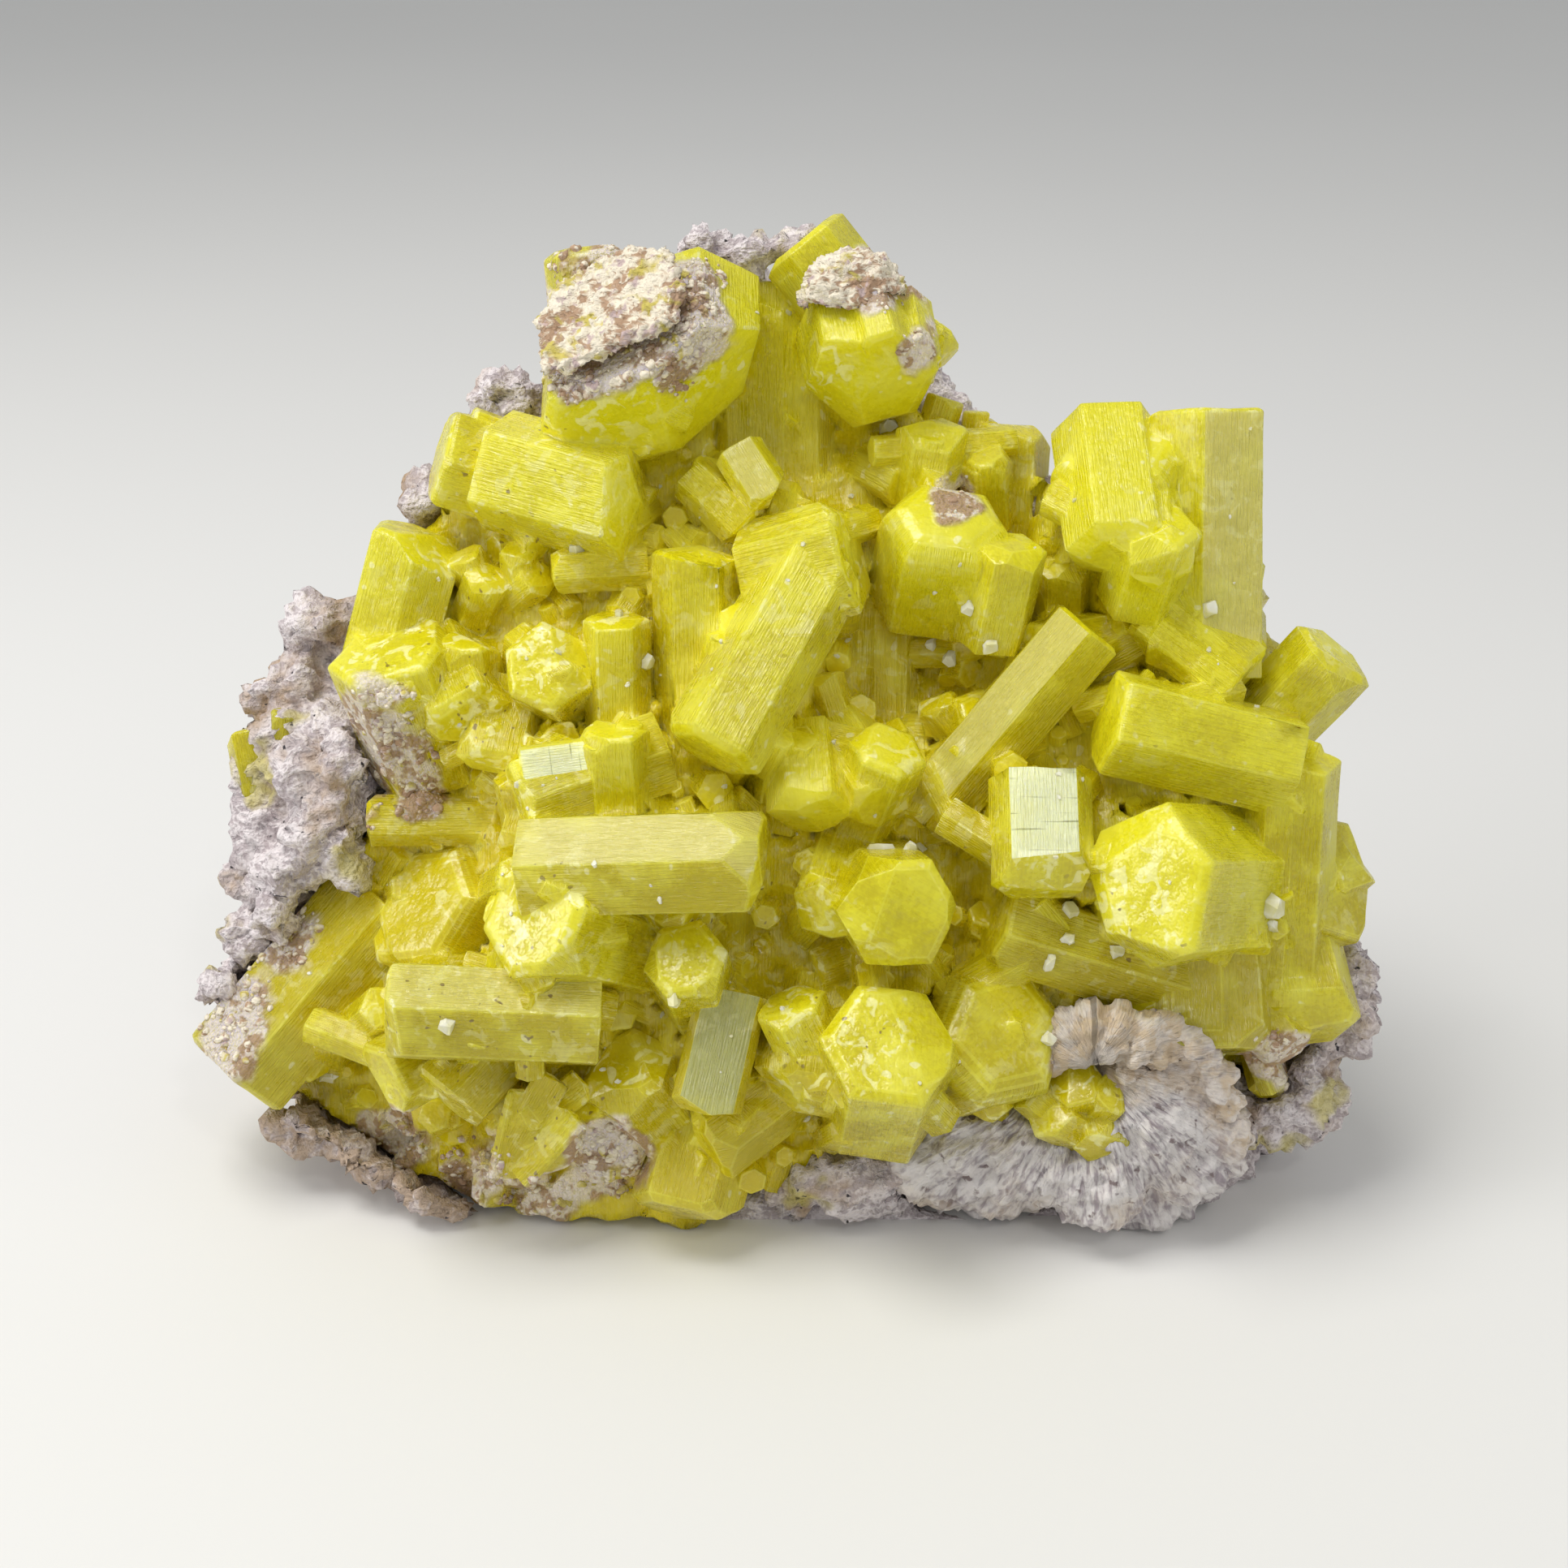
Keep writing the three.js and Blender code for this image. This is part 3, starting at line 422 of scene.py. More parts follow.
    Prism("lower_great_hexagon", (3.9, 7.4, 6.4), (85, 62, 0), (6.2, 5.0, 4.3), 0.4),
    Prism("lower_rounded", (1.2, 5.0, 4.4), (-100, 38, 0), (4.4, 4.6, 3.4), 0.6),
    Prism("lower_round_head", (8.6, 7.9, 4.8), (40, 66, 0), (6.0, 5.6, 4.8), 1.2),
    Prism("tablet", (-2.9, 4.7, 4.4), (-103, 6, 0), (4.4, 2.6, 1.2), 0.1),
    Prism("bottom_facet", (-3.0, 3.6, 2.6), (215, 20, 0), (4.6, 3.2, 2.8), 0.3),
    Prism("bottom_tip", (-3.7, 1.0, 1.3), (-105, 20, 10), (5.0, 4.2, 3.4), 0.4),
    # Lower left.
    Prism("corner_hexagon", (-9.4, 12.0, 6.2), (158, 55, 0), (5.6, 4.7, 4.1), 0.4),
    Prism("level_prism", (-14.7, 8.6, 4.8), (177, 6, 38), (7.4, 3.8, 3.3), 0.2),
    Prism("lower_left_stub", (-14.9, 5.9, 2.6), (208, 40, 0), (4.6, 3.1, 2.5), 0.2),
    Prism("lower_left_leaf", (-12.5, 5.2, 3.0), (226, 22, 30), (4.4, 3.2, 2.7), 0.2),
    Prism("slab_wedge", (-20.2, 6.2, -1.4), (230, 6, 28), (8.5, 5.0, 3.9), 0.3),
    Prism("slab_root", (-13.8, 12.6, 1.6), (150, 50, 0), (4.0, 5.4, 4.4), 0.8),
    Prism("blade_upper", (-8.5, 6.1, 3.6), (60, 14, 20), (3.6, 1.4, 0.4), 0.05),
    Prism("blade_outer", (-9.6, 5.6, 3.4), (76, 14, 30), (3.4, 1.3, 0.35), 0.05),
    Prism("blade_middle", (-7.8, 4.8, 3.4), (48, 14, -20), (3.2, 1.4, 0.4), 0.05),
    Prism("blade_inner", (-7.4, 5.9, 3.2), (40, 20, 0), (3.2, 1.3, 0.35), 0.05),
    Prism("blade_mass", (-8.9, 3.1, 2.4), (-70, 45, 0), (3.6, 3.0, 2.4), 0.3),
    Prism("granular_block", (-6.0, 6.5, 3.2), (120, 50, 0), (4.2, 3.6, 3.0), 0.4),
    Prism("granular_stub", (-6.5, 3.3, 1.8), (-80, 65, 0), (4.0, 3.4, 3.0), 0.5),
)

FLANK_CRYSTALS: tuple[Prism, ...] = (
    Prism("flank_flake", (-19.8, 19.0, -1.4), (100, 10, 0), (3.8, 1.8, 1.4), 0.1),
    Prism("flank_stub", (-18.4, 19.6, -0.8), (80, 20, 0), (3.0, 1.3, 1.1), 0.1),
)

NODULE_CRYSTALS: tuple[Prism, ...] = (
    Prism("nodule_crystal_a", (10.8, 6.0, 2.2), (100, 60, 0), (3.0, 2.1, 1.9), 0.1),
    Prism("nodule_crystal_b", (12.2, 5.5, 2.2), (60, 55, 10), (3.0, 1.7, 1.5), 0.1),
    Prism("nodule_crystal_c", (11.8, 3.4, 2.0), (-80, 50, 0), (3.0, 2.0, 1.7), 0.1),
    Prism("nodule_crystal_d", (9.7, 4.7, 2.2), (150, 40, 0), (3.0, 1.8, 1.5), 0.1),
    Prism("nodule_crystal_e", (8.9, 5.6, 2.0), (140, 30, 0), (2.6, 1.5, 1.3), 0.1),
)


class Facet(Enum):
    """How a facet that stands out from its crystal is painted: a painted highlight, a painted
    reflection, or a darker glassy look.
    """

    PAINTED_HIGHLIGHT = 0.5
    PAINTED_REFLECTION = 1.0
    GLASSY = -1.0


# Facets that stand out, with the direction each looks, as x, up and out: painted highlights, painted
# reflections and the darker glassy one.
FACETS: dict[str, tuple[Facet, Triple]] = {
    "tower_upright": (Facet.PAINTED_HIGHLIGHT, (0.6, 0.0, 0.8)),
    "level_prism": (Facet.PAINTED_HIGHLIGHT, (0.0, 0.5, 0.85)),
    "long_prism": (Facet.PAINTED_HIGHLIGHT, (0.0, 0.5, 0.85)),
    "slanting_prism": (Facet.PAINTED_HIGHLIGHT, (-0.5, 0.45, 0.75)),
    "right_mirror_facet": (Facet.PAINTED_REFLECTION, (0.0, 0.2, 1.0)),
    "left_bright_facet": (Facet.PAINTED_REFLECTION, (0.0, 0.45, 0.9)),
    "tablet": (Facet.GLASSY, (0.0, 0.1, 1.0)),
    "middle_pale_chip": (Facet.PAINTED_HIGHLIGHT, (0.0, 0.2, 1.0)),
    "tower_chip": (Facet.PAINTED_HIGHLIGHT, (0.0, 0.3, 0.95)),
    "lower_hexagon": (Facet.PAINTED_HIGHLIGHT, (-0.1, 0.2, 1.0)),
}

# Crystals painted brighter or duller than where they stand would make them, as painted light and shade,
# from 0 to 1.
PAINTED_LIGHT_TONES: dict[str, float] = {
    "right_dark_face": 0.12, "right_lower_prism": 0.25, "great_hexagon": 0.85, "round_head": 0.8,
    "lower_great_hexagon": 0.7, "tablet": 0.2, "slab_wedge": 0.25, "long_prism": 0.3,
    "level_prism": 0.35, "lower_left_leaf": 0.35, "crown_plate": 0.65, "left_peak": 0.7,
    "big_diagonal": 0.55, "hollow_plate": 0.25, "slanting_prism": 0.35, "tower_upright": 0.45,
}

# Crystals that stand alone, with no lesser ones grown along them.
PLAIN = {
    "great_hexagon", "big_diagonal", "centre_hexagon", "right_brick", "right_upper_end",
    "crown_left_block", "left_arm_body", "middle_upright", "lower_great_hexagon", "round_head",
    "slab_wedge", "tower_round_end", "lower_round_head", "left_block", "blade_mass",
}

ROUND_HEADED = {
    "round_head", "lower_round_head", "lower_rounded", "tower_round_end", "right_rough",
    "left_arm_end", "slab_root",
}


@dataclass
class CrystalForge:
    """Makes single crystals: chipped, soft-edged and slightly wavy prisms.

    Fields: the edges' rounding, the skin's cells (how much longer they are along the prism,
    and how much larger on a broad one), the skin's wave, the corners' unevenness, how far
    below the tip the end face's rim lies for its bevel, the width that chips start from, the
    angle in radians from which an edge counts as sharp, and how finely plain edges and round
    heads are rounded.
    """

    rounding: float = 0.07
    pitch: float = 0.5
    drawn_out: float = 1.3
    broad: float = 2.6
    coarser: float = 1.25
    wave: float = 0.04
    unevenness: float = 0.06
    end_rise: float = 0.6
    least_chipped: float = 1.3
    sharp_angle: float = 0.3
    edge_segments: int = 2
    head_segments: int = 5

    def forge(self, prism: Prism, seed: int, tone_and_painted_light: float) -> BMesh:
        """Builds one crystal in the face's frame.

        Args:
            prism: The crystal's place and size.
            seed: Its number, which its unevenness follows.
            tone_and_painted_light: How bright it is painted, from 0 to 1, its own tone and painted light
                and shade together.

        Returns:
            A closed bmesh in millimetres on the face.
        """
        draw = random.Random(seed * 7919)
        bm = self._blank(prism, seed)
        self._end_face(bm, prism)
        self._chips(bm, prism, draw)
        self._soften(bm, prism)
        self._slice(bm, prism)
        self._mark(bm, prism, tone_and_painted_light)
        self._wave(bm, seed)
        bmesh.ops.transform(bm, matrix=prism.basis(), verts=bm.verts)
        return bm

    def _blank(self, prism: Prism, seed: int) -> BMesh:
        """Makes the bare six-sided prism, its end face just short of the tip.

        Args:
            prism: The crystal.
            seed: Its number.

        Returns:
            The bmesh in the prism's own frame.
        """
        bm = bmesh.new()
        bmesh.ops.create_cone(bm, cap_ends=True, segments=6, radius1=1, radius2=1, depth=2)
        corners = prism.section()
        for vertex in bm.verts:
            corner = round(math.degrees(math.atan2(vertex.co.y, vertex.co.x)) / 60 - 0.5) % 6
            p, q = corners[corner]
            uneven = 1 + self.unevenness * wobble(seed, corner)
            height = -self.end_rise * prism.bevel if vertex.co.z > 0 else -prism.size[0]
            vertex.co = Vector((p * uneven, q * uneven, height))
        return bm

    def _end_face(self, bm: BMesh, prism: Prism) -> None:
        """Bevels the end, or rounds it over.

        Args:
            bm: The bare prism.
            prism: The crystal.
        """
        cap = max(bm.faces, key=lambda face: face.calc_center_median().z)
        if prism.name in ROUND_HEADED:
            round_off(bm, cap.edges[:], prism.bevel, self.head_segments)
            return
        bmesh.ops.inset_region(bm, faces=[cap], thickness=prism.bevel, depth=self.end_rise * prism.bevel)

    def _chips(self, bm: BMesh, prism: Prism, draw: random.Random) -> None:
        """Gives the end a slanting facet or two and breaks corners off it.

        Args:
            bm: The prism with its end face.
            prism: The crystal.
            draw: Its random numbers.
        """
        if prism.size[1] < self.least_chipped:
            return
        for _ in range(draw.choice((0, 1, 1, 2))):
            angle, tilt = draw.uniform(0, math.tau), math.radians(draw.uniform(14, 38))
            aside = Vector((math.cos(angle), math.sin(angle), 0))
            normal = aside * math.sin(tilt) + Vector((0, 0, math.cos(tilt)))
            trim(bm, aside * draw.uniform(0.0, 0.3) * prism.size[2], normal)
        for _ in range(draw.choice((1, 2, 2, 3))):
            p, q = prism.section()[draw.randrange(6)]
            corner = Vector((p, q, 0))
            normal = (corner.normalized() + Vector((0, 0, draw.uniform(0.4, 1.6)))).normalized()
            trim(bm, corner - normal * draw.uniform(0.08, 0.22) * prism.size[2], normal)
        bmesh.ops.dissolve_degenerate(bm, dist=0.005, edges=bm.edges)

    def _soften(self, bm: BMesh, prism: Prism) -> None:
        """Rounds every edge a little, and marks what is rounded.

        Args:
            bm: The chipped prism.
            prism: The crystal.
        """
        rim = bm.faces.layers.int.new(RIM)
        offset = min(self.rounding, 0.05 * prism.size[2])
        sharp = [edge for edge in bm.edges if edge.calc_face_angle(0) > self.sharp_angle]
        for face in round_off(bm, sharp, offset, self.edge_segments):
            face[rim] = 1

    def _slice(self, bm: BMesh, prism: Prism) -> None:
        """Cuts the faces into cells small enough to carry relief.

        Args:
            bm: The soft-edged prism.
            prism: The crystal.
        """
        length, width, thickness = prism.size
        pitch = self.pitch * (self.coarser if width > self.broad else 1.0)
        spans = (
            (Vector((1, 0, 0)), -width / 2, width / 2, pitch),
            (Vector((0, 1, 0)), -thickness / 2, thickness / 2, pitch),
            (Vector((0, 0, 1)), -length, 0.0, pitch * self.drawn_out),
        )
        for normal, low, high, step in spans:
            count = max(1, round((high - low) / step))
            for index in range(count):
                level = low + (index + 0.5) * (high - low) / count
                geometry = bm.verts[:] + bm.edges[:] + bm.faces[:]
                bmesh.ops.bisect_plane(bm, geom=geometry, plane_co=normal * level, plane_no=normal)

    def _mark(self, bm: BMesh, prism: Prism, tone_and_painted_light: float) -> None:
        """Writes the grain's direction and the facet's tint on every face: its painted brightness, its
        flag for a painted highlight, painted reflection or glassy look, and its end and rim marks.

        Args:
            bm: The crystal in its own frame.
            prism: The crystal.
            tone_and_painted_light: How bright it is painted, from 0 to 1.
        """
        grain = bm.loops.layers.uv.new(GRAIN)
        tint = bm.loops.layers.float_color.new(TINT)
        rim = bm.faces.layers.int[RIM]
        facet, looks = FACETS.get(prism.name, (None, (0, 0, 1)))
        looks_own = prism.basis().to_3x3().transposed() @ Vector(looks).normalized()
        bm.normal_update()
        for face in bm.faces:
            end = face.normal.z > 0.75
            around = Vector((1, 0, 0)) if end else Vector((0, 0, 1)).cross(face.normal).normalized()
            # The facet's flag: a painted highlight, a painted reflection or a darker glassy look.
            pale = 0.0
            if facet and not end and face.normal.dot(looks_own) > 0.8:
                pale = facet.value
            for loop in face.loops:
                place = loop.vert.co
                loop[grain].uv = (place.dot(around), place.y if end else place.z)
                loop[tint] = (tone_and_painted_light, 0.5 + 0.5 * pale, 1.0 if end else 0.0, float(face[rim]))

    def _wave(self, bm: BMesh, seed: int) -> None:
        """Moves the skin in and out a very little, as grown faces do.

        Args:
            bm: The sliced prism.
            seed: Its number.
        """
        bm.normal_update()
        shift = Vector((seed * 3.1, seed * 1.7, 0))
        for vertex in bm.verts:
            coarse = noise.noise(vertex.co * 0.9 + shift)
            fine = noise.noise(vertex.co * 2.6 + shift)
            vertex.co += vertex.normal * (self.wave * coarse + 0.4 * self.wave * fine)


@dataclass(frozen=True)
class Patch:
    """A patch of residue: where it is sighted, its radius in millimetres, and its grains."""

    x: float
    up: float
    radius: float
    grains: int = 0


SOILED: tuple[Patch, ...] = (
    # crown
    Patch(-6.9, 35.4, 2.0, 120), Patch(-8.2, 33.8, 1.5, 60), Patch(-4.9, 34.6, 1.5, 60),
    Patch(-6.2, 32.6, 1.4, 40), Patch(3.6, 35.6, 1.3, 40), Patch(5.0, 33.0, 0.8, 15),
    Patch(-3.1, 35.4, 1.0, 70), Patch(-3.2, 33.9, 1.1, 90), Patch(-4.2, 32.4, 1.1, 70),
    Patch(-7.9, 31.9, 1.0, 50),
    # round head
    Patch(6.3, 27.6, 0.9, 16),
    # left flank
    Patch(-14.9, 19.5, 1.4, 60), Patch(-15.5, 17.4, 1.4, 60), Patch(-14.0, 18.0, 1.2, 40),
    Patch(-16.1, 15.9, 1.1, 40), Patch(-13.5, 16.4, 0.9, 30),
    # slab ridge
    Patch(-20.3, 9.3, 1.5, 60), Patch(-18.5, 11.4, 1.4, 60), Patch(-21.0, 7.2, 1.3, 40),
    # lower edge
    Patch(-6.5, 3.0, 1.4, 90), Patch(-11.4, 2.4, 1.5, 60), Patch(-9.0, 1.4, 1.2, 50),
    Patch(-14.6, 3.4, 1.3, 40), Patch(11.4, 6.6, 1.2, 50), Patch(18.4, 6.8, 1.2, 40),
)


# ---- The crust between the crystals ----


@dataclass
class Crust:
    """Massive yellow crust that fills the places between the crystals.

    Fields: how the ground bulges, the lumps on it, the height field (its size, cells and how
    far below the foot it starts), how the crust creeps up between the crystals (the reach it
    is averaged over, its sink below that, and the cover and clearance that crystals keep),
    and the hollows (x, up, radius, depth) and outline (x, up) on the face.
    """

    top: float = 2.8
    middle: float = 16.0
    half_width: float = 20.0
    half_height: float = 18.0
    fall_across: float = 5.2
    fall_along: float = 4.0
    roughness: float = 0.45
    lump_pitch: float = 1.1
    depth: float = 3.5
    width: float = 42.0
    height: float = 36.0
    cell: float = 0.27
    reach: float = 1.1
    sink: float = 1.0
    side_cuts: int = 7
    cover: float = 0.35
    clearance: float = 0.1
    open_share: float = 0.75
    below: float = 0.5
    probe: float = 20.0
    ground: np.ndarray = field(default_factory=lambda: np.zeros((1, 1)))
    gaps: np.ndarray = field(default_factory=lambda: np.ones((1, 1), bool))
    hollows: tuple[tuple[float, float, float, float], ...] = (
        (5.6, 21.4, 3.4, 2.4), (-13.4, 13.4, 1.4, 1.2), (-6.6, 7.9, 1.6, 1.2),
    )
    outline: tuple[tuple[float, float], ...] = (
        (-18.6, 5.0), (-15.0, 3.0), (-11.0, 0.9), (-7.0, 0.8), (-3.2, 0.6), (0.4, 3.2),
        (4.0, 4.4), (7.0, 5.2), (9.6, 6.4), (12.6, 7.4), (16.0, 6.2), (19.0, 6.4),
        (20.2, 9.0), (20.4, 12.0), (19.6, 15.0), (19.6, 18.0), (19.0, 21.0), (17.2, 24.0),
        (16.4, 27.4), (13.2, 28.0), (10.6, 26.8), (9.0, 28.0), (6.4, 29.0), (4.2, 31.0),
        (1.8, 33.8), (-1.8, 34.4), (-4.4, 33.4), (-7.2, 31.6), (-8.4, 29.0), (-11.6, 28.0),
        (-13.4, 26.6), (-14.4, 24.0), (-15.2, 21.0), (-14.2, 18.0), (-15.4, 15.0),
        (-16.8, 12.6), (-19.0, 11.0), (-20.0, 8.0),
    )

    def swell(self, x: Reading, up: Reading) -> Reading:
        """Returns how far out the crust stands on the whole at a place."""
        across, along = (x / self.half_width) ** 2, ((up - self.middle) / self.half_height) ** 2
        return self.top - self.fall_across * across - self.fall_along * along

    def lumpy(self, x: float, up: float) -> float:
        """Finds how far out the crust's lumpy ground is.

        Args:
            x: Where, in millimetres on the face.
            up: How far up the face.

        Returns:
            The ground's height over the face, in millimetres.
        """
        out = self.swell(x, up) + self.roughness * ripple(x, up, 0, self.lump_pitch)
        for middle_x, middle_up, radius, depth in self.hollows:
            reach = ((x - middle_x) ** 2 + (up - middle_up) ** 2) / radius**2
            out -= depth * math.exp(-reach)
        return out

    def gather(self, tree: BVHTree) -> None:
        """Lets the crust creep up between the large crystals.

        Args:
            tree: The large crystals' faces, in the face's frame.
        """
        rows, columns = round(self.height / self.cell) + 1, round(self.width / self.cell) + 1
        tops, grounds = np.zeros((rows, columns)), np.zeros((rows, columns))
        stands = np.full((rows, columns), np.inf)
        for row in range(rows):
            for column in range(columns):
                x, up = self._place_of(row, column)
                low = grounds[row, column] = self.lumpy(x, up)
                hit = tree.ray_cast(Vector((x, up, self.probe)), Vector((0, 0, -1)), 2 * self.probe)[0]
                tops[row, column] = low if hit is None else max(low, hit.z)
                if hit is not None and hit.z > low:
                    stands[row, column] = hit.z - self.cover
        spread = self._blurred(tops, round(self.reach / self.cell))
        level = np.maximum(spread - self.sink, grounds)
        self.ground = np.minimum(level, stands)
        clear = (stands > level + self.clearance).astype(float)
        self.gaps = self._blurred(clear, 1) > self.open_share

    def _place_of(self, row: int, column: int) -> tuple[float, float]:
        """Returns where a cell of the height field lies."""
        return column * self.cell - self.width / 2, row * self.cell - self.below

    def _blurred(self, values: np.ndarray, radius: int) -> np.ndarray:
        """Averages the height field twice over squares.

        Args:
            values: The height field.
            radius: How many cells the squares reach to each side.

        Returns:
            The smoothed field, of the same size.
        """
        for axis in (0, 1, 0, 1):
            pad = [(radius, radius) if it == axis else (0, 0) for it in (0, 1)]
            padded = np.pad(values, pad, mode="edge")
            shifts = [np.roll(padded, shift, axis=axis) for shift in range(-radius, radius + 1)]
            mean = sum(shifts) / len(shifts)
            values = mean.take(range(radius, radius + values.shape[axis]), axis=axis)
        return values

    def front(self, x: float, up: float) -> float:
        """Finds how far out the crust's surface is, with its blocks and grains.

        Args:
            x: Where, in millimetres on the face.
            up: How far up the face.

        Returns:
            The surface's height over the face, in millimetres.
        """
        blocks = noise.cell(Vector((x + 0.6 * up, up - 0.6 * x, 0)) * 0.95)
        grains = layered(Vector((x, up, 0)), (0.3, 1.3), (0.22, 3.1))
        return float(self.ground[self._cell_at(x, up)]) + 0.35 * blocks + grains

    def _cell_at(self, x: float, up: float) -> tuple[int, int]:
        """Finds the height field's cell at a place.

        Args:
            x: Where, in millimetres on the face.
            up: How far up the face.

        Returns:
            The cell's row and column.
        """
        rows, columns = self.ground.shape
        column = clamp((x + self.width / 2) / self.cell, 0, columns - 1)
        return round(clamp((up + self.below) / self.cell, 0, rows - 1)), round(column)

    def is_gap(self, x: float, up: float) -> bool:
        """Returns whether the crust lies open between the large crystals there."""
        return bool(self.gaps[self._cell_at(x, up)])

    def inside(self, x: float, up: float) -> bool:
        """Finds whether a place lies within the crust's outline.

        Args:
            x: Where, in millimetres on the face.
            up: How far up the face.

        Returns:
            Whether it does.
        """
        within = False
        for (x0, y0), (x1, y1) in self._sides():
            if (y0 > up) != (y1 > up) and x < x0 + (up - y0) * (x1 - x0) / (y1 - y0):
                within = not within
        return within

    def _sides(self) -> list[tuple[tuple[float, float], tuple[float, float]]]:
        """Returns the two ends of each side of the outline."""
        return list(zip(self.outline, self.outline[1:] + self.outline[:1]))

    def build(self) -> Object:
        """Builds the crust as one closed body in the face's frame.

        Returns:
            The object, in millimetres on the face.
        """
        bm = bmesh.new()
        columns, rows = round(self.width / self.cell), round(self.height / self.cell)
        bmesh.ops.create_grid(bm, x_segments=columns, y_segments=rows, size=0.5)
        bmesh.ops.scale(bm, vec=(self.width, self.height, 1), verts=bm.verts)
        bmesh.ops.translate(bm, vec=(0, self.height / 2 - self.below, 0), verts=bm.verts)
        stray = [face for face in bm.faces if not self.inside(*face.calc_center_median().to_2d())]
        bmesh.ops.delete(bm, geom=stray, context="FACES")
        self._follow_outline(bm)
        front = bm.faces[:]
        backed = bmesh.ops.extrude_face_region(bm, geom=front, use_keep_orig=True)
        back = {item for item in backed["geom"] if isinstance(item, BMVert)}
        for vertex in bm.verts:
            x, up = vertex.co.x, vertex.co.y
            vertex.co.z = self.swell(x, up) - self.depth if vertex in back else self.front(x, up)
        rungs = [edge for edge in bm.edges if (edge.verts[0] in back) != (edge.verts[1] in back)]
        for item in bmesh.ops.subdivide_edges(bm, edges=rungs, cuts=self.side_cuts)["geom_inner"]:
            if isinstance(item, BMVert):
                self._roughen(item)
        behind = [face for face in bm.faces if all(vertex in back for vertex in face.verts)]
        bmesh.ops.delete(bm, geom=behind, context="FACES")
        close(bm)
        bmesh.ops.recalc_face_normals(bm, faces=bm.faces)
        grain = bm.loops.layers.uv.new(GRAIN)
        tint = bm.loops.layers.float_color.new(TINT)
        for face in bm.faces:
            for loop in face.loops:
                loop[grain].uv = (loop.vert.co.x, loop.vert.co.y)
                loop[tint] = (0.35, 0.5, 0.2, 0.0)
        return object_from(bm, "crust")

    def _roughen(self, vertex: BMVert) -> None:
        """Moves a point of the crust's side in or out, for a blocky flank.

        Args:
            vertex: The point.
        """
        place = vertex.co.copy()
        x, up, out = place
        outward = Vector((x, up - self.middle, 0)).normalized()
        blocks = noise.cell(Vector((x + 0.4 * out, up - 0.3 * out, out + 0.4 * up)) * 0.55)
        drift = 1.1 * noise.noise(place * 0.35) + 0.45 * blocks
        drift += 0.45 * noise.noise(place * 1.5)
        vertex.co += outward * (drift - 0.25)

    def _follow_outline(self, bm: BMesh) -> None:
        """Draws the grid's stepped border onto the outline.

        Args:
            bm: The grid, already cut to the outline's cells.
        """
        sides = [(Vector(start), Vector(end)) for start, end in self._sides()]
        middle = Vector((0, self.middle))
        for vertex in bm.verts:
            if not vertex.is_boundary:
                continue
            place = vertex.co.to_2d()
            points = [self._on_side(place, start, end) for start, end in sides]
            nearest = min(points, key=lambda point: (point - place).length)
            drift = 0.5 * noise.noise(Vector((*nearest, 3.0)) * 0.9)
            vertex.co.x, vertex.co.y = nearest + (nearest - middle).normalized() * drift

    def _on_side(self, place: Vector, start: Vector, end: Vector) -> Vector:
        """Returns the point of one side of the outline that is nearest to a place."""
        side = end - start
        return start + side * clamp((place - start).dot(side) / side.length_squared)


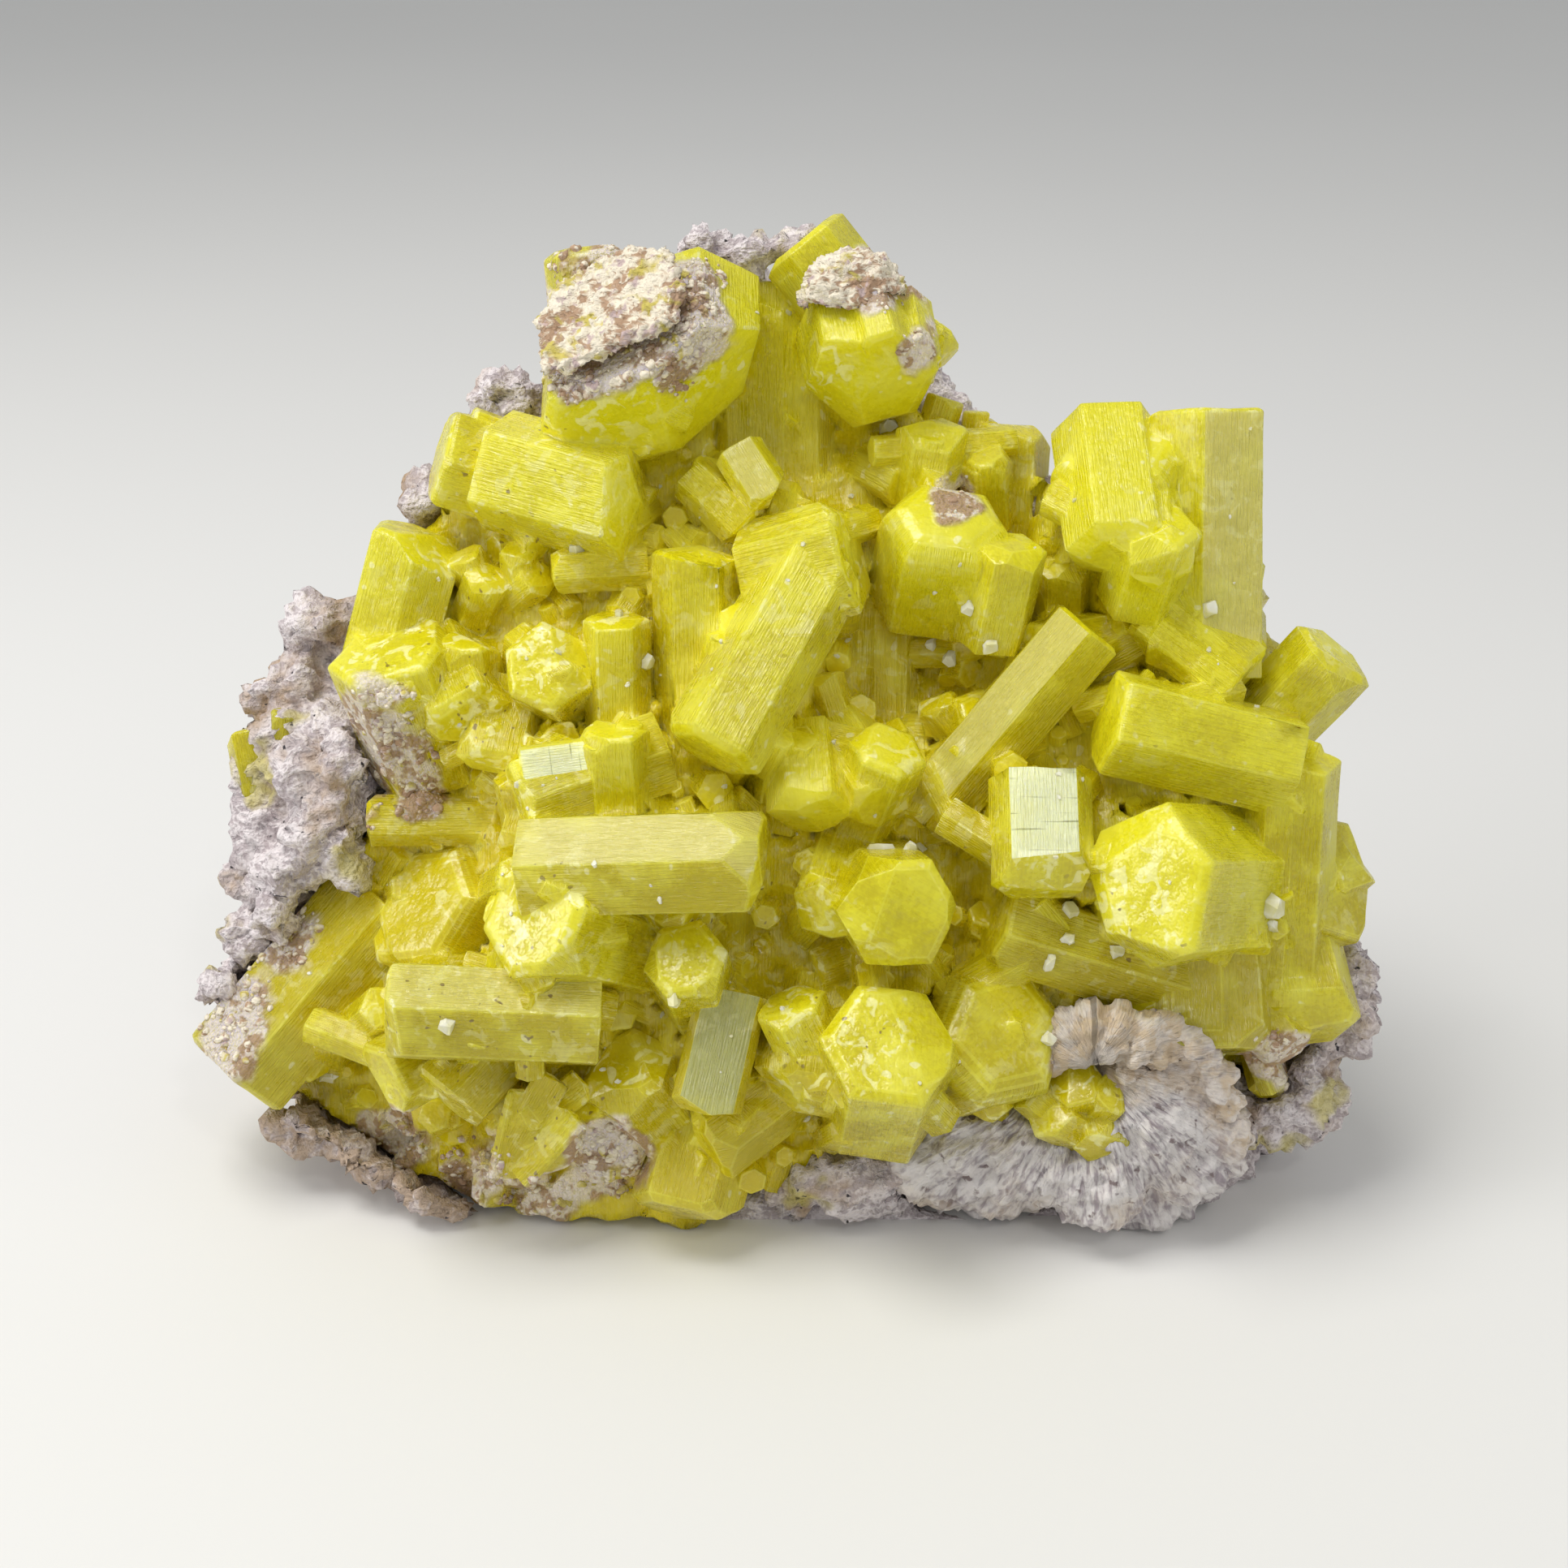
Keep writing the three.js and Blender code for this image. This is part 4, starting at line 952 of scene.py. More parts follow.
@dataclass
class Cluster:
    """The crystals, the small ones that crowd between them, and their crust, in one skin.

    Fields: how crystals and crust are made, how many small crystals there are, the box that
    they are scattered in, how much further out than itself (across, up) each must still lie
    inside the outline, how far the skin stays over the floor, the depth at which the shade
    painted into the recesses is full, the lift that still gets some of it, and how far soil
    reaches past its patch.
    """

    forge: CrystalForge = field(default_factory=CrystalForge)
    crust: Crust = field(default_factory=Crust)
    stubs: int = 520
    field_x: tuple[float, float] = (-19.0, 19.5)
    field_up: tuple[float, float] = (2.0, 33.0)
    margins: tuple[float, float] = (1.09, 1.04)
    floor_gap: float = 0.1
    painted_recess_shade_depth: float = 3.8
    painted_recess_shade_lift: float = 0.2
    soil_edge: float = 1.45

    def tone_and_painted_light_of(self, prism: Prism, seed: int) -> float:
        """Finds how bright a crystal is painted: listed ones as set, others brighter the prouder they
        stand, as painted light, with a random share.

        Args:
            prism: The crystal.
            seed: Its number.

        Returns:
            The painted brightness, from 0 to 1.
        """
        if prism.name in PAINTED_LIGHT_TONES:
            return PAINTED_LIGHT_TONES[prism.name]
        return clamp(0.42 + 0.05 * prism.site[2] + 0.16 * wobble(seed, 77), 0.1, 1.0)

    def small_prisms(self) -> list[Prism]:
        """Scatters the small crystals that crowd between the large ones.

        Returns:
            The prisms, rooted in the crust.
        """
        draw = random.Random(41)
        found: list[Prism] = []
        while len(found) < self.stubs:
            x, up = draw.uniform(*self.field_x), draw.uniform(*self.field_up)
            inside = self.crust.inside(x * self.margins[0], up * self.margins[1])
            if not (inside and self.crust.is_gap(x, up)):
                continue
            thick = 0.4 + 1.15 * draw.random() ** 2
            length = thick * draw.uniform(1.6, 2.6)
            lift, turn = draw.uniform(10, 80), draw.uniform(0, 360)
            reach = length * 0.6 * math.cos(math.radians(lift))
            root_x = x - reach * math.cos(math.radians(turn))
            root_up = up - reach * math.sin(math.radians(turn))
            if not self.crust.is_gap(root_x, root_up):
                continue
            out = self.crust.front(x, up)
            out += length * math.sin(math.radians(lift)) * draw.uniform(0.15, 0.5)
            site = (*FACE.sighted(x, up, out), out)
            size = (length, thick * draw.uniform(1.12, 1.3), thick)
            found.append(Prism("stub", site, (turn, lift, draw.uniform(0, 60)), size, 0.08 * thick))
        return found

    def companions(self, prism: Prism, seed: int) -> list[Prism]:
        """Grows lesser crystals side by side with a large one, parallel to it.

        Args:
            prism: The large crystal.
            seed: Its number.

        Returns:
            The lesser crystals.
        """
        length, width, thickness = prism.size
        if width < 2.0 or prism.name in FACETS or prism.name in PLAIN:
            return []
        draw = random.Random(seed * 31)
        found = []
        for _ in range(draw.choice((1, 2, 2, 3))):
            share = draw.uniform(0.34, 0.6)
            angle = math.radians(draw.uniform(0, 360))
            aside = Vector((math.cos(angle) * width, math.sin(angle) * thickness, 0))
            aside *= draw.uniform(0.2, 0.36)
            aside.z = draw.uniform(-0.3, 0.04) * min(length, 5.0)
            shift = prism.basis().to_3x3() @ aside
            turn, lift, roll = prism.way
            way = (turn + draw.uniform(-3, 3), lift + draw.uniform(-3, 3), roll + draw.uniform(-6, 6))
            site = tuple(part + move for part, move in zip(prism.site, shift))
            size = (length * 0.8, width * share, thickness * share * draw.uniform(0.9, 1.2))
            found.append(Prism("companion", site, way, size, prism.bevel * share))
        return found

    def build(self, finish: "CrystalFinish") -> Object:
        """Builds and dresses the whole cluster.

        Args:
            finish: The crystals' finish.

        Returns:
            The finished piece.
        """
        grown = []
        for number, prism in enumerate(CRYSTALS, start=1):
            tone_and_painted_light = self.tone_and_painted_light_of(prism, number)
            for rank, member in enumerate([prism, *self.companions(prism, number)]):
                made = self.forge.forge(member, number + 500 * rank, tone_and_painted_light)
                grown.append(object_from(made, member.name))
        self.crust.gather(self._tree_of(grown))
        grown.insert(0, self.crust.build())
        coarse = CrystalForge(rounding=0.05, pitch=1.6, wave=0.02, edge_segments=1)
        for number, prism in enumerate(self.small_prisms(), start=200):
            tone_and_painted_light = clamp(0.45 + 0.3 * wobble(number, 5))
            grown.append(object_from(coarse.forge(prism, number, tone_and_painted_light), "stub"))
        cluster = fuse(grown)
        cluster.name = "crystals"
        self._above_floor(cluster)
        self._note_painted_recess_shade(cluster)
        self._note_soil(cluster)
        cluster.data.transform(FACE.to_world())
        weight_normals(cluster)
        coat(cluster, finish.material())
        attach(cluster, "root")
        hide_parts("crystal_cluster")
        return cluster

    def _tree_of(self, things: Sequence[Object]) -> BVHTree:
        """Sorts the faces of several objects for quick finding.

        Args:
            things: The objects.

        Returns:
            The search tree.
        """
        corners: list[Vector] = []
        faces: list[list[int]] = []
        for thing in things:
            first = len(corners)
            corners.extend(vertex.co.copy() for vertex in thing.data.vertices)
            for polygon in thing.data.polygons:
                faces.append([first + index for index in polygon.vertices])
        return BVHTree.FromPolygons(corners, faces)

    def _above_floor(self, cluster: Object) -> None:
        """Trims what would reach below the surface that the specimen stands on.

        Args:
            cluster: The joined crystals, in the face's frame.
        """
        lean = math.radians(FACE.lean)
        normal = Vector((0, -math.cos(lean), -math.sin(lean)))
        bm = bmesh.new()
        bm.from_mesh(cluster.data)
        trim(bm, normal * -self.floor_gap, normal)
        bm.to_mesh(cluster.data)
        bm.free()

    def _note_painted_recess_shade(self, cluster: Object) -> None:
        """Writes at each point how deep it lies between the crystals, from 0 to 1, for the shade painted
        into the recesses.

        Args:
            cluster: The joined crystals, in the face's frame.
        """
        x, up, out = corners_of(cluster).T
        proud = out - self.crust.swell(x, up) + self.painted_recess_shade_lift
        note(cluster, PAINTED_RECESS_SHADE, 1.0 - proud / self.painted_recess_shade_depth)

    def _note_soil(self, cluster: Object) -> None:
        """Writes at each point how much residue sticks to it, from 0 to 1.

        Args:
            cluster: The joined crystals, in the face's frame.
        """
        x, up = FACE.sighted(*corners_of(cluster).T)
        shares = [
            self.soil_edge - np.hypot(x - patch.x, up - patch.up) / patch.radius for patch in SOILED
        ]
        note(cluster, SOIL, np.max(shares, axis=0))


# ---- Rock, nodule and crusts ----


@dataclass(frozen=True)
class Knob:
    """A rounded lump of rock: where it is sighted (x, up, out) and its radius."""

    site: Triple
    radius: float


def shaped_from(node: str, voxel: float, knobs: Sequence[Knob] = ()) -> Object:
    """Makes an even-meshed copy of a CAD node to sculpt.

    Args:
        node: The node's name.
        voxel: The new mesh's cell in metres.
        knobs: Lumps that the new mesh takes in.

    Returns:
        The copy, at the origin.
    """
    bm = bmesh.new()
    bm.from_mesh(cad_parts[node].data)
    bmesh.ops.remove_doubles(bm, verts=bm.verts, dist=1e-6)
    for knob in knobs:
        place = Matrix.Translation(FACE.place(knob.site))
        bmesh.ops.create_icosphere(
            bm, subdivisions=3, radius=knob.radius, matrix=FACE.to_world() @ place
        )
    copy = object_from(bm, node + "_skin")
    even = copy.modifiers.new("even", "REMESH")
    even.mode = "VOXEL"
    even.voxel_size = voxel
    settle(copy)
    return copy


def push(thing: Object, depth: Callable[[Vector], float], flat_below: float) -> None:
    """Moves a mesh's points along their normals.

    Args:
        thing: The object.
        depth: Gives the move in millimetres for a place in millimetres.
        flat_below: Points lower than this, in metres, stay where they are.
    """
    bm = bmesh.new()
    bm.from_mesh(thing.data)
    bm.normal_update()
    moves = [(vertex, vertex.normal * depth(vertex.co / MM) * MM) for vertex in bm.verts]
    for vertex, move in moves:
        if vertex.co.z > flat_below:
            vertex.co += move
            vertex.co.z = max(vertex.co.z, flat_below)
    for face in bm.faces:
        face.smooth = True
    bm.to_mesh(thing.data)
    bm.free()


@dataclass
class MatrixRock:
    """The grey-lavender rock that the crystals grow on.

    Fields: the sculpted mesh's cell in metres, the height of its lumps and of its grit in
    millimetres, and the knobs that stand out beside the crystals.
    """

    voxel: float = 0.00024
    lump: float = 0.4
    grit: float = 0.2
    knobs: tuple[Knob, ...] = (
        Knob((-19.1, 20.1, -2.2), 0.9), Knob((-17.9, 22.6, -2.4), 0.8), Knob((-18.6, 18.2, -1.8), 1.3),
        Knob((-17.0, 19.0, -1.2), 1.1), Knob((-16.3, 17.2, -0.6), 1.1), Knob((-17.2, 15.6, -0.4), 1.3),
        Knob((-19.0, 15.8, -1.6), 1.2), Knob((-19.6, 13.6, -1.8), 1.2), Knob((-18.2, 13.8, -0.6), 1.1),
        Knob((-20.0, 11.4, -1.4), 1.0), Knob((-19.0, 11.9, -0.2), 0.9), Knob((-20.9, 9.4, -1.0), 0.8),
        Knob((-16.0, 14.0, 0.0), 0.8), Knob((-18.0, 17.0, -0.8), 1.0), Knob((-15.4, 18.6, -0.5), 0.8),
        Knob((-2.9, 36.6, 1.6), 1.0), Knob((-1.2, 36.4, 1.8), 0.9), Knob((0.3, 36.7, 2.0), 0.9),
        Knob((9.8, 27.4, -0.4), 0.9), Knob((10.0, 26.0, -0.4), 0.8), Knob((-12.4, 25.6, -1.6), 0.8),
    )

    def relief(self, place: Vector) -> float:
        """Finds how far the rock's skin is moved.

        Args:
            place: Where, in the world's frame and in millimetres.

        Returns:
            The move outwards, in millimetres.
        """
        lumps = noise.turbulence(place * 0.5, 3, False) - 0.55
        knobs = 0.36 - 0.95 * noise.voronoi(place * 0.75)[0][0] ** 2
        beads = 0.2 - 0.55 * noise.voronoi(place * 2.0)[0][0] ** 2
        grit = layered(place, (1.0, 3.9), (0.6, 7.5))
        return self.lump * lumps + knobs + beads + self.grit * grit

    def build(self, finish: "RockFinish") -> Object:
        """Builds and dresses the rock.

        Args:
            finish: The rock's finish.

        Returns:
            The finished piece.
        """
        rock = shaped_from("matrix_rock", self.voxel, self.knobs)
        push(rock, self.relief, FLAT_FOOT)
        rock.name = "rock"
        coat(rock, finish.material())
        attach(rock, "root")
        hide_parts("matrix_rock")
        return rock


def prism_piece(prisms: Sequence[Prism], name: str, finish: "CrystalFinish") -> Object:
    """Builds crystals that stand apart from the cluster into one dressed mesh.

    Args:
        prisms: The crystals.
        name: The piece's name.
        finish: The crystals' finish.

    Returns:
        The piece, in the world frame.
    """
    forge = CrystalForge(rounding=0.05, pitch=0.4)
    piece = fuse([
        object_from(forge.forge(prism, number, 0.45), prism.name)
        for number, prism in enumerate(prisms, start=1)
    ])
    piece.name = name
    # A middling shade painted all over as if in a recess, and no residue.
    for layer, value in ((PAINTED_RECESS_SHADE, 0.35), (SOIL, 0.0)):
        note(piece, layer, np.full(len(piece.data.vertices), value))
    piece.data.transform(FACE.to_world())
    weight_normals(piece)
    coat(piece, finish.material())
    return piece


@dataclass
class Nodule:
    """The fibrous grey-lavender nodule at the lower right, with its small crystals.

    Fields: the sculpted mesh's cell in metres, where its fibres fan out from (x, up, out), the
    pleats between them (how many to the circle over tau, their height, and how far out they
    reach it), how widely angles are spread for the fibres' colour, how far dust lies from the
    rim's beads, how far its crystals are brought out, and the knobs and beads themselves.
    """

    voxel: float = 0.00016
    root: Triple = (10.9, 7.0, 2.0)
    ribs: int = 12
    pleat: float = 0.17
    full_pleat: float = 3.0
    angle_spread: float = 3.0
    rim_dust: float = 1.05
    raise_by: float = 1.0
    knobs: tuple[Knob, ...] = (
        Knob((13.2, 4.9, 0.5), 2.9), Knob((6.7, 3.9, 0.3), 1.8), Knob((8.7, 3.6, 0.4), 2.0),
        Knob((5.0, 3.3, -0.1), 1.4), Knob((14.8, 3.8, 0.2), 2.3), Knob((10.6, 3.4, 0.5), 2.1),
        Knob((11.6, 2.8, 0.6), 2.2), Knob((12.4, 6.6, 1.5), 1.5), Knob((14.4, 6.2, 1.4), 1.5),
    )
    rim: tuple[Knob, ...] = (
        Knob((9.8, 7.6, 3.0), 0.55), Knob((10.5, 7.9, 3.3), 0.65), Knob((11.4, 8.1, 3.5), 0.7),
        Knob((12.4, 8.0, 3.6), 0.7), Knob((13.3, 7.8, 3.6), 0.65), Knob((14.2, 7.8, 3.5), 0.7),
        Knob((15.0, 7.5, 3.3), 0.7), Knob((15.5, 6.8, 3.0), 0.65), Knob((16.0, 6.0, 2.6), 0.6),
        Knob((16.4, 5.1, 2.1), 0.55), Knob((16.7, 4.3, 1.6), 0.5), Knob((11.0, 7.2, 3.4), 0.6),
        Knob((10.2, 6.9, 3.1), 0.5), Knob((12.1, 7.3, 3.6), 0.6), Knob((13.0, 7.0, 3.5), 0.5),
        Knob((14.0, 6.9, 3.3), 0.5), Knob((9.6, 6.4, 2.8), 0.5), Knob((12.6, 6.4, 3.2), 0.4),
    )

    def fan_at(self, place: Vector) -> tuple[float, float]:
        """Finds a place in the fan of fibres.

        Args:
            place: Where, in the world's frame and in millimetres.

        Returns:
            The fan's angle there, and the distance from its root in millimetres.
        """
        x, up, out = FACE.to_world().inverted() @ (place * MM)
        root_x, root_up, root_out = self.root
        across, along = x - root_x, up - root_up
        return math.atan2(across, -along), math.hypot(across, along, 0.5 * (out - root_out))

    def relief(self, place: Vector) -> float:
        """Finds how far the nodule's skin is moved.

        Args:
            place: Where, in the world's frame and in millimetres.

        Returns:
            The move outwards, in millimetres.
        """
        angle, away = self.fan_at(place)
        fan = math.sin(angle * self.ribs + 2.6 * noise.noise(place * 0.5))
        fine = noise.noise(Vector((angle * 14.0, away * 0.9, 0.0)))
        knobs = 0.2 - 0.5 * noise.voronoi(place * 0.8)[0][0] ** 2
        rough = layered(place, (1.0, 1.8), (0.7, 4.5))
        pleats = self.pleat * (0.6 * fan + 1.1 * fine) * clamp(away / self.full_pleat)
        return pleats + 0.26 * rough + knobs

    def build(self, finish: "NoduleFinish", crystals: "CrystalFinish") -> list[Object]:
        """Builds and dresses the nodule and its crystals.

        Args:
            finish: The nodule's finish.
            crystals: The crystals' finish.

        Returns:
            The finished pieces.
        """
        nodule = shaped_from("fibrous_nodule", self.voxel, (*self.knobs, *self.rim))
        push(nodule, self.relief, FLAT_FOOT)
        self._note_marks(nodule)
        nodule.name = "nodule"
        coat(nodule, finish.material())
        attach(nodule, "root")
        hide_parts("fibrous_nodule")
        bits = prism_piece(self._raised(NODULE_CRYSTALS), "nodule_bits", crystals)
        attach(bits, "root")
        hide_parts("nodule_crystals")
        return [nodule, bits]

    def _note_marks(self, nodule: Object) -> None:
        """Writes the fibres and the dusty rim at each of the nodule's points.

        Args:
            nodule: The sculpted nodule, in the world's frame.
        """
        places = corners_of(nodule)
        fan = nodule.data.attributes.new(FIBRE, "FLOAT_VECTOR", "POINT")
        for entry, row in zip(fan.data, places):
            angle, away = self.fan_at(Vector(row) / MM)
            entry.vector = (angle * self.angle_spread, away, 0.0)
        world = FACE.to_world()
        beads = [np.array(world @ FACE.place(knob.site)) for knob in self.rim]
        away = np.min([np.linalg.norm(places - bead, axis=1) for bead in beads], axis=0)
        note(nodule, SOIL, 1.5 - away / (self.rim_dust * MM))

    def _raised(self, prisms: Sequence[Prism]) -> list[Prism]:
        """Returns the small crystals, brought out onto the nodule's sculpted skin."""
        return [replace(it, site=(*it.site[:2], it.site[2] + self.raise_by)) for it in prisms]


@dataclass
class CrownCrusts:
    """The rough brown-white crust and lump on the topmost crystals.

    Fields: the sculpted mesh's cell in metres.
    """

    voxel: float = 0.00012

    def relief(self, place: Vector) -> float:
        """Returns how far the crust's skin is moved at a world place, in millimetres."""
        return layered(place, (0.22, 1.3), (0.2, 3.6), (0.14, 8.0)) - 0.12

    def build(self, finish: "CrustFinish") -> list[Object]:
        """Builds and dresses both crusts.

        Args:
            finish: The crusts' finish.

        Returns:
            The finished pieces.
        """
        made = []
        for node in ("crown_left_crust", "crown_right_lump"):
            skin = shaped_from(node, self.voxel)
            push(skin, self.relief, 0.0)
            skin.name = node + "_dressed"
            coat(skin, finish.material())
            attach(skin, "root")
            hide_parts(node)
            made.append(skin)
        return made


# ---- Small white crystals ----


@dataclass(frozen=True)
class Chip:
    """A tiny white crystal: where it is sighted (x, up), its width, length and turn in degrees."""

    x: float
    up: float
    width: float
    length: float
    turn: float = 0.0


CHIPS: tuple[Chip, ...] = (
    Chip(3.87, 30.15, 0.62, 0.62, 10), Chip(-5.1, 21.42, 0.66, 0.6, 40),
    Chip(-7.68, 25.56, 0.6, 0.6, 70), Chip(6.81, 23.4, 0.6, 0.62, 20),
    Chip(6.18, 21.57, 0.64, 0.5, 55), Chip(7.56, 21.99, 0.5, 0.7, 5),
    Chip(5.43, 22.05, 0.55, 0.5, 80), Chip(15.69, 23.37, 0.66, 0.6, 30),
    Chip(10.56, 12.27, 0.6, 0.7, 12), Chip(10.5, 11.19, 0.5, 0.6, 64),
    Chip(9.81, 10.35, 0.5, 0.95, 82), Chip(12.27, 10.74, 0.56, 0.56, 33),
    Chip(9.72, 7.47, 0.6, 0.6, 0), Chip(-4.02, 8.94, 0.6, 0.5, 21),
    Chip(-12.48, 8.01, 0.6, 0.6, 44), Chip(17.94, 12.39, 0.95, 0.9, 45),
    Chip(18.0, 11.7, 0.45, 0.8, 70), Chip(-6.09, 23.19, 0.34, 1.0, 84),
    Chip(3.57, 14.55, 0.34, 1.0, 8), Chip(4.92, 14.55, 0.34, 0.9, 76),
    Chip(4.68, 14.52, 0.5, 0.5, 50), Chip(-16.83, 6.15, 0.62, 0.6, 30),
)


class SightedGround:
    """Finds where a line of sight meets a finished piece."""

    def __init__(self, piece: Object) -> None:
        """Sorts the piece's faces, in the face's frame, for quick finding.

        Args:
            piece: The finished piece, in the world's frame.
        """
        to_face = FACE.to_world().inverted()
        self.tree = BVHTree.FromPolygons(
            [to_face @ vertex.co for vertex in piece.data.vertices],
            [polygon.vertices for polygon in piece.data.polygons],
        )
        self.eye = Vector((0, FACE.eye_level, FACE.eye_distance))

    def at(self, x: float, up: float) -> tuple[Vector | None, Vector | None]:
        """Returns the point and the normal that are sighted at a place, or nothing for both."""
        hit, normal, _, _ = self.tree.ray_cast(self.eye, (Vector((x, up, 0)) - self.eye).normalized())
        return hit, normal


@dataclass
class WhiteCrystals:
    """The tiny white crystals dusted over the yellow ones.

    Fields: how many there are beside the listed ones, their least and greatest width, the
    stretch of the face that they are dusted over, and the seed of their scatter and of their
    uneven shapes.
    """

    dust: int = 110
    dust_size: tuple[float, float] = (0.08, 0.2)
    dusted_x: tuple[float, float] = (-18.0, 19.0)
    dusted_up: tuple[float, float] = (1.0, 40.0)
    seed: int = 12

    def build(self, cluster: Object, finish: "ChipFinish") -> Object:
        """Sets every chip down where its line of sight meets the cluster.

        Args:
            cluster: The finished crystals.
            finish: The chips' finish.

        Returns:
            The finished piece.
        """
        ground = SightedGround(cluster)
        draw = random.Random(self.seed)
        noise.seed_set(self.seed)
        chips = list(CHIPS)
        while len(chips) < len(CHIPS) + self.dust:
            size = draw.uniform(*self.dust_size)
            x, up = draw.uniform(*self.dusted_x), draw.uniform(*self.dusted_up)
            chips.append(Chip(x, up, size, size * draw.uniform(0.7, 1.8), draw.uniform(0, 180)))
        bm = bmesh.new()
        for chip in chips:
            hit, normal = ground.at(chip.x, chip.up)
            if hit is not None:
                self._set_down(bm, chip, hit, normal)
        bmesh.ops.transform(bm, matrix=FACE.to_world(), verts=bm.verts)
        piece = object_from(bm, "white_crystals", smooth=False)
        coat(piece, finish.material())
        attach(piece, "root")
        return piece

    def _set_down(self, bm: BMesh, chip: Chip, hit: Vector, normal: Vector) -> None:
        """Adds one chip, sunk by a third into the face that it lies on.

        Args:
            bm: The mesh that takes it in.
            chip: The chip.
            hit: Where it lies.
            normal: The way its face looks there.
        """
        made = bmesh.ops.create_cone(
            bm, cap_ends=True, segments=6, radius1=chip.width / 2, radius2=chip.width * 0.4,
            depth=chip.width * 0.6,
        )["verts"]
        stretch = Matrix.Diagonal((chip.length / chip.width, 1, 1, 1))
        turn = Matrix.Rotation(math.radians(chip.turn), 4, "Z")
        for vertex in made:
            vertex.co += noise.noise_vector(vertex.co * 2 / chip.width + hit * 3) * 0.3 * chip.width
        place = Matrix.Translation(hit + normal * chip.width * 0.1)
        bmesh.ops.transform(bm, matrix=place @ facing(normal) @ turn @ stretch, verts=made)


@dataclass
class Residue:
    """Loose-looking grains of brown and white crust that stick to the soiled patches.

    Fields: the least and the greatest radius, and the radius from which a grain is made finer.
    """

    small: float = 0.07
    large: float = 0.22
    finer_from: float = 0.16

    def build(self, cluster: Object, finish: "CrustFinish") -> Object:
        """Scatters the grains over each patch.

        Args:
            cluster: The finished crystals.
            finish: The grains' finish.

        Returns:
            The finished piece.
        """
        ground = SightedGround(cluster)
        draw = random.Random(77)
        bm = bmesh.new()
        pile = bpy.data.meshes.new("pile")
        for patch in SOILED:
            part = bmesh.new()
            for _ in range(patch.grains):
                angle, reach = draw.uniform(0, math.tau), patch.radius * math.sqrt(draw.random())
                x, up = patch.x + reach * math.cos(angle), patch.up + reach * math.sin(angle)
                hit, normal = ground.at(x, up)
                if hit is not None:
                    self._grain(part, hit, normal, draw)
            part.to_mesh(pile)
            part.free()
            bm.from_mesh(pile)
        bpy.data.meshes.remove(pile)
        bmesh.ops.transform(bm, matrix=FACE.to_world(), verts=bm.verts)
        piece = object_from(bm, "residue_grains")
        coat(piece, finish.material())
        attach(piece, "root")
        return piece

    def _grain(self, bm: BMesh, hit: Vector, normal: Vector, draw: random.Random) -> None:
        """Adds one uneven grain, half sunk where it lies.

        Args:
            bm: The mesh that takes it in.
            hit: Where it lies.
            normal: The way the crystals' skin looks there.
            draw: The random numbers.
        """
        radius = self.small + (self.large - self.small) * draw.random() ** 2
        rounds = 2 if radius > self.finer_from else 1
        made = bmesh.ops.create_icosphere(bm, subdivisions=rounds, radius=radius)["verts"]
        shift = Vector((draw.random(), draw.random(), draw.random())) * 50
        for vertex in made:
            vertex.co *= 1 + 0.55 * noise.noise(vertex.co * (1.3 / radius) + shift)
        flat = Matrix.Diagonal((1, draw.uniform(0.6, 1), draw.uniform(0.45, 0.8), 1))
        turn = facing(normal) @ Matrix.Rotation(draw.uniform(0, math.tau), 4, "Z")
        bmesh.ops.transform(bm, matrix=Matrix.Translation(hit) @ turn @ flat, verts=made)


# ---- Finishes ----


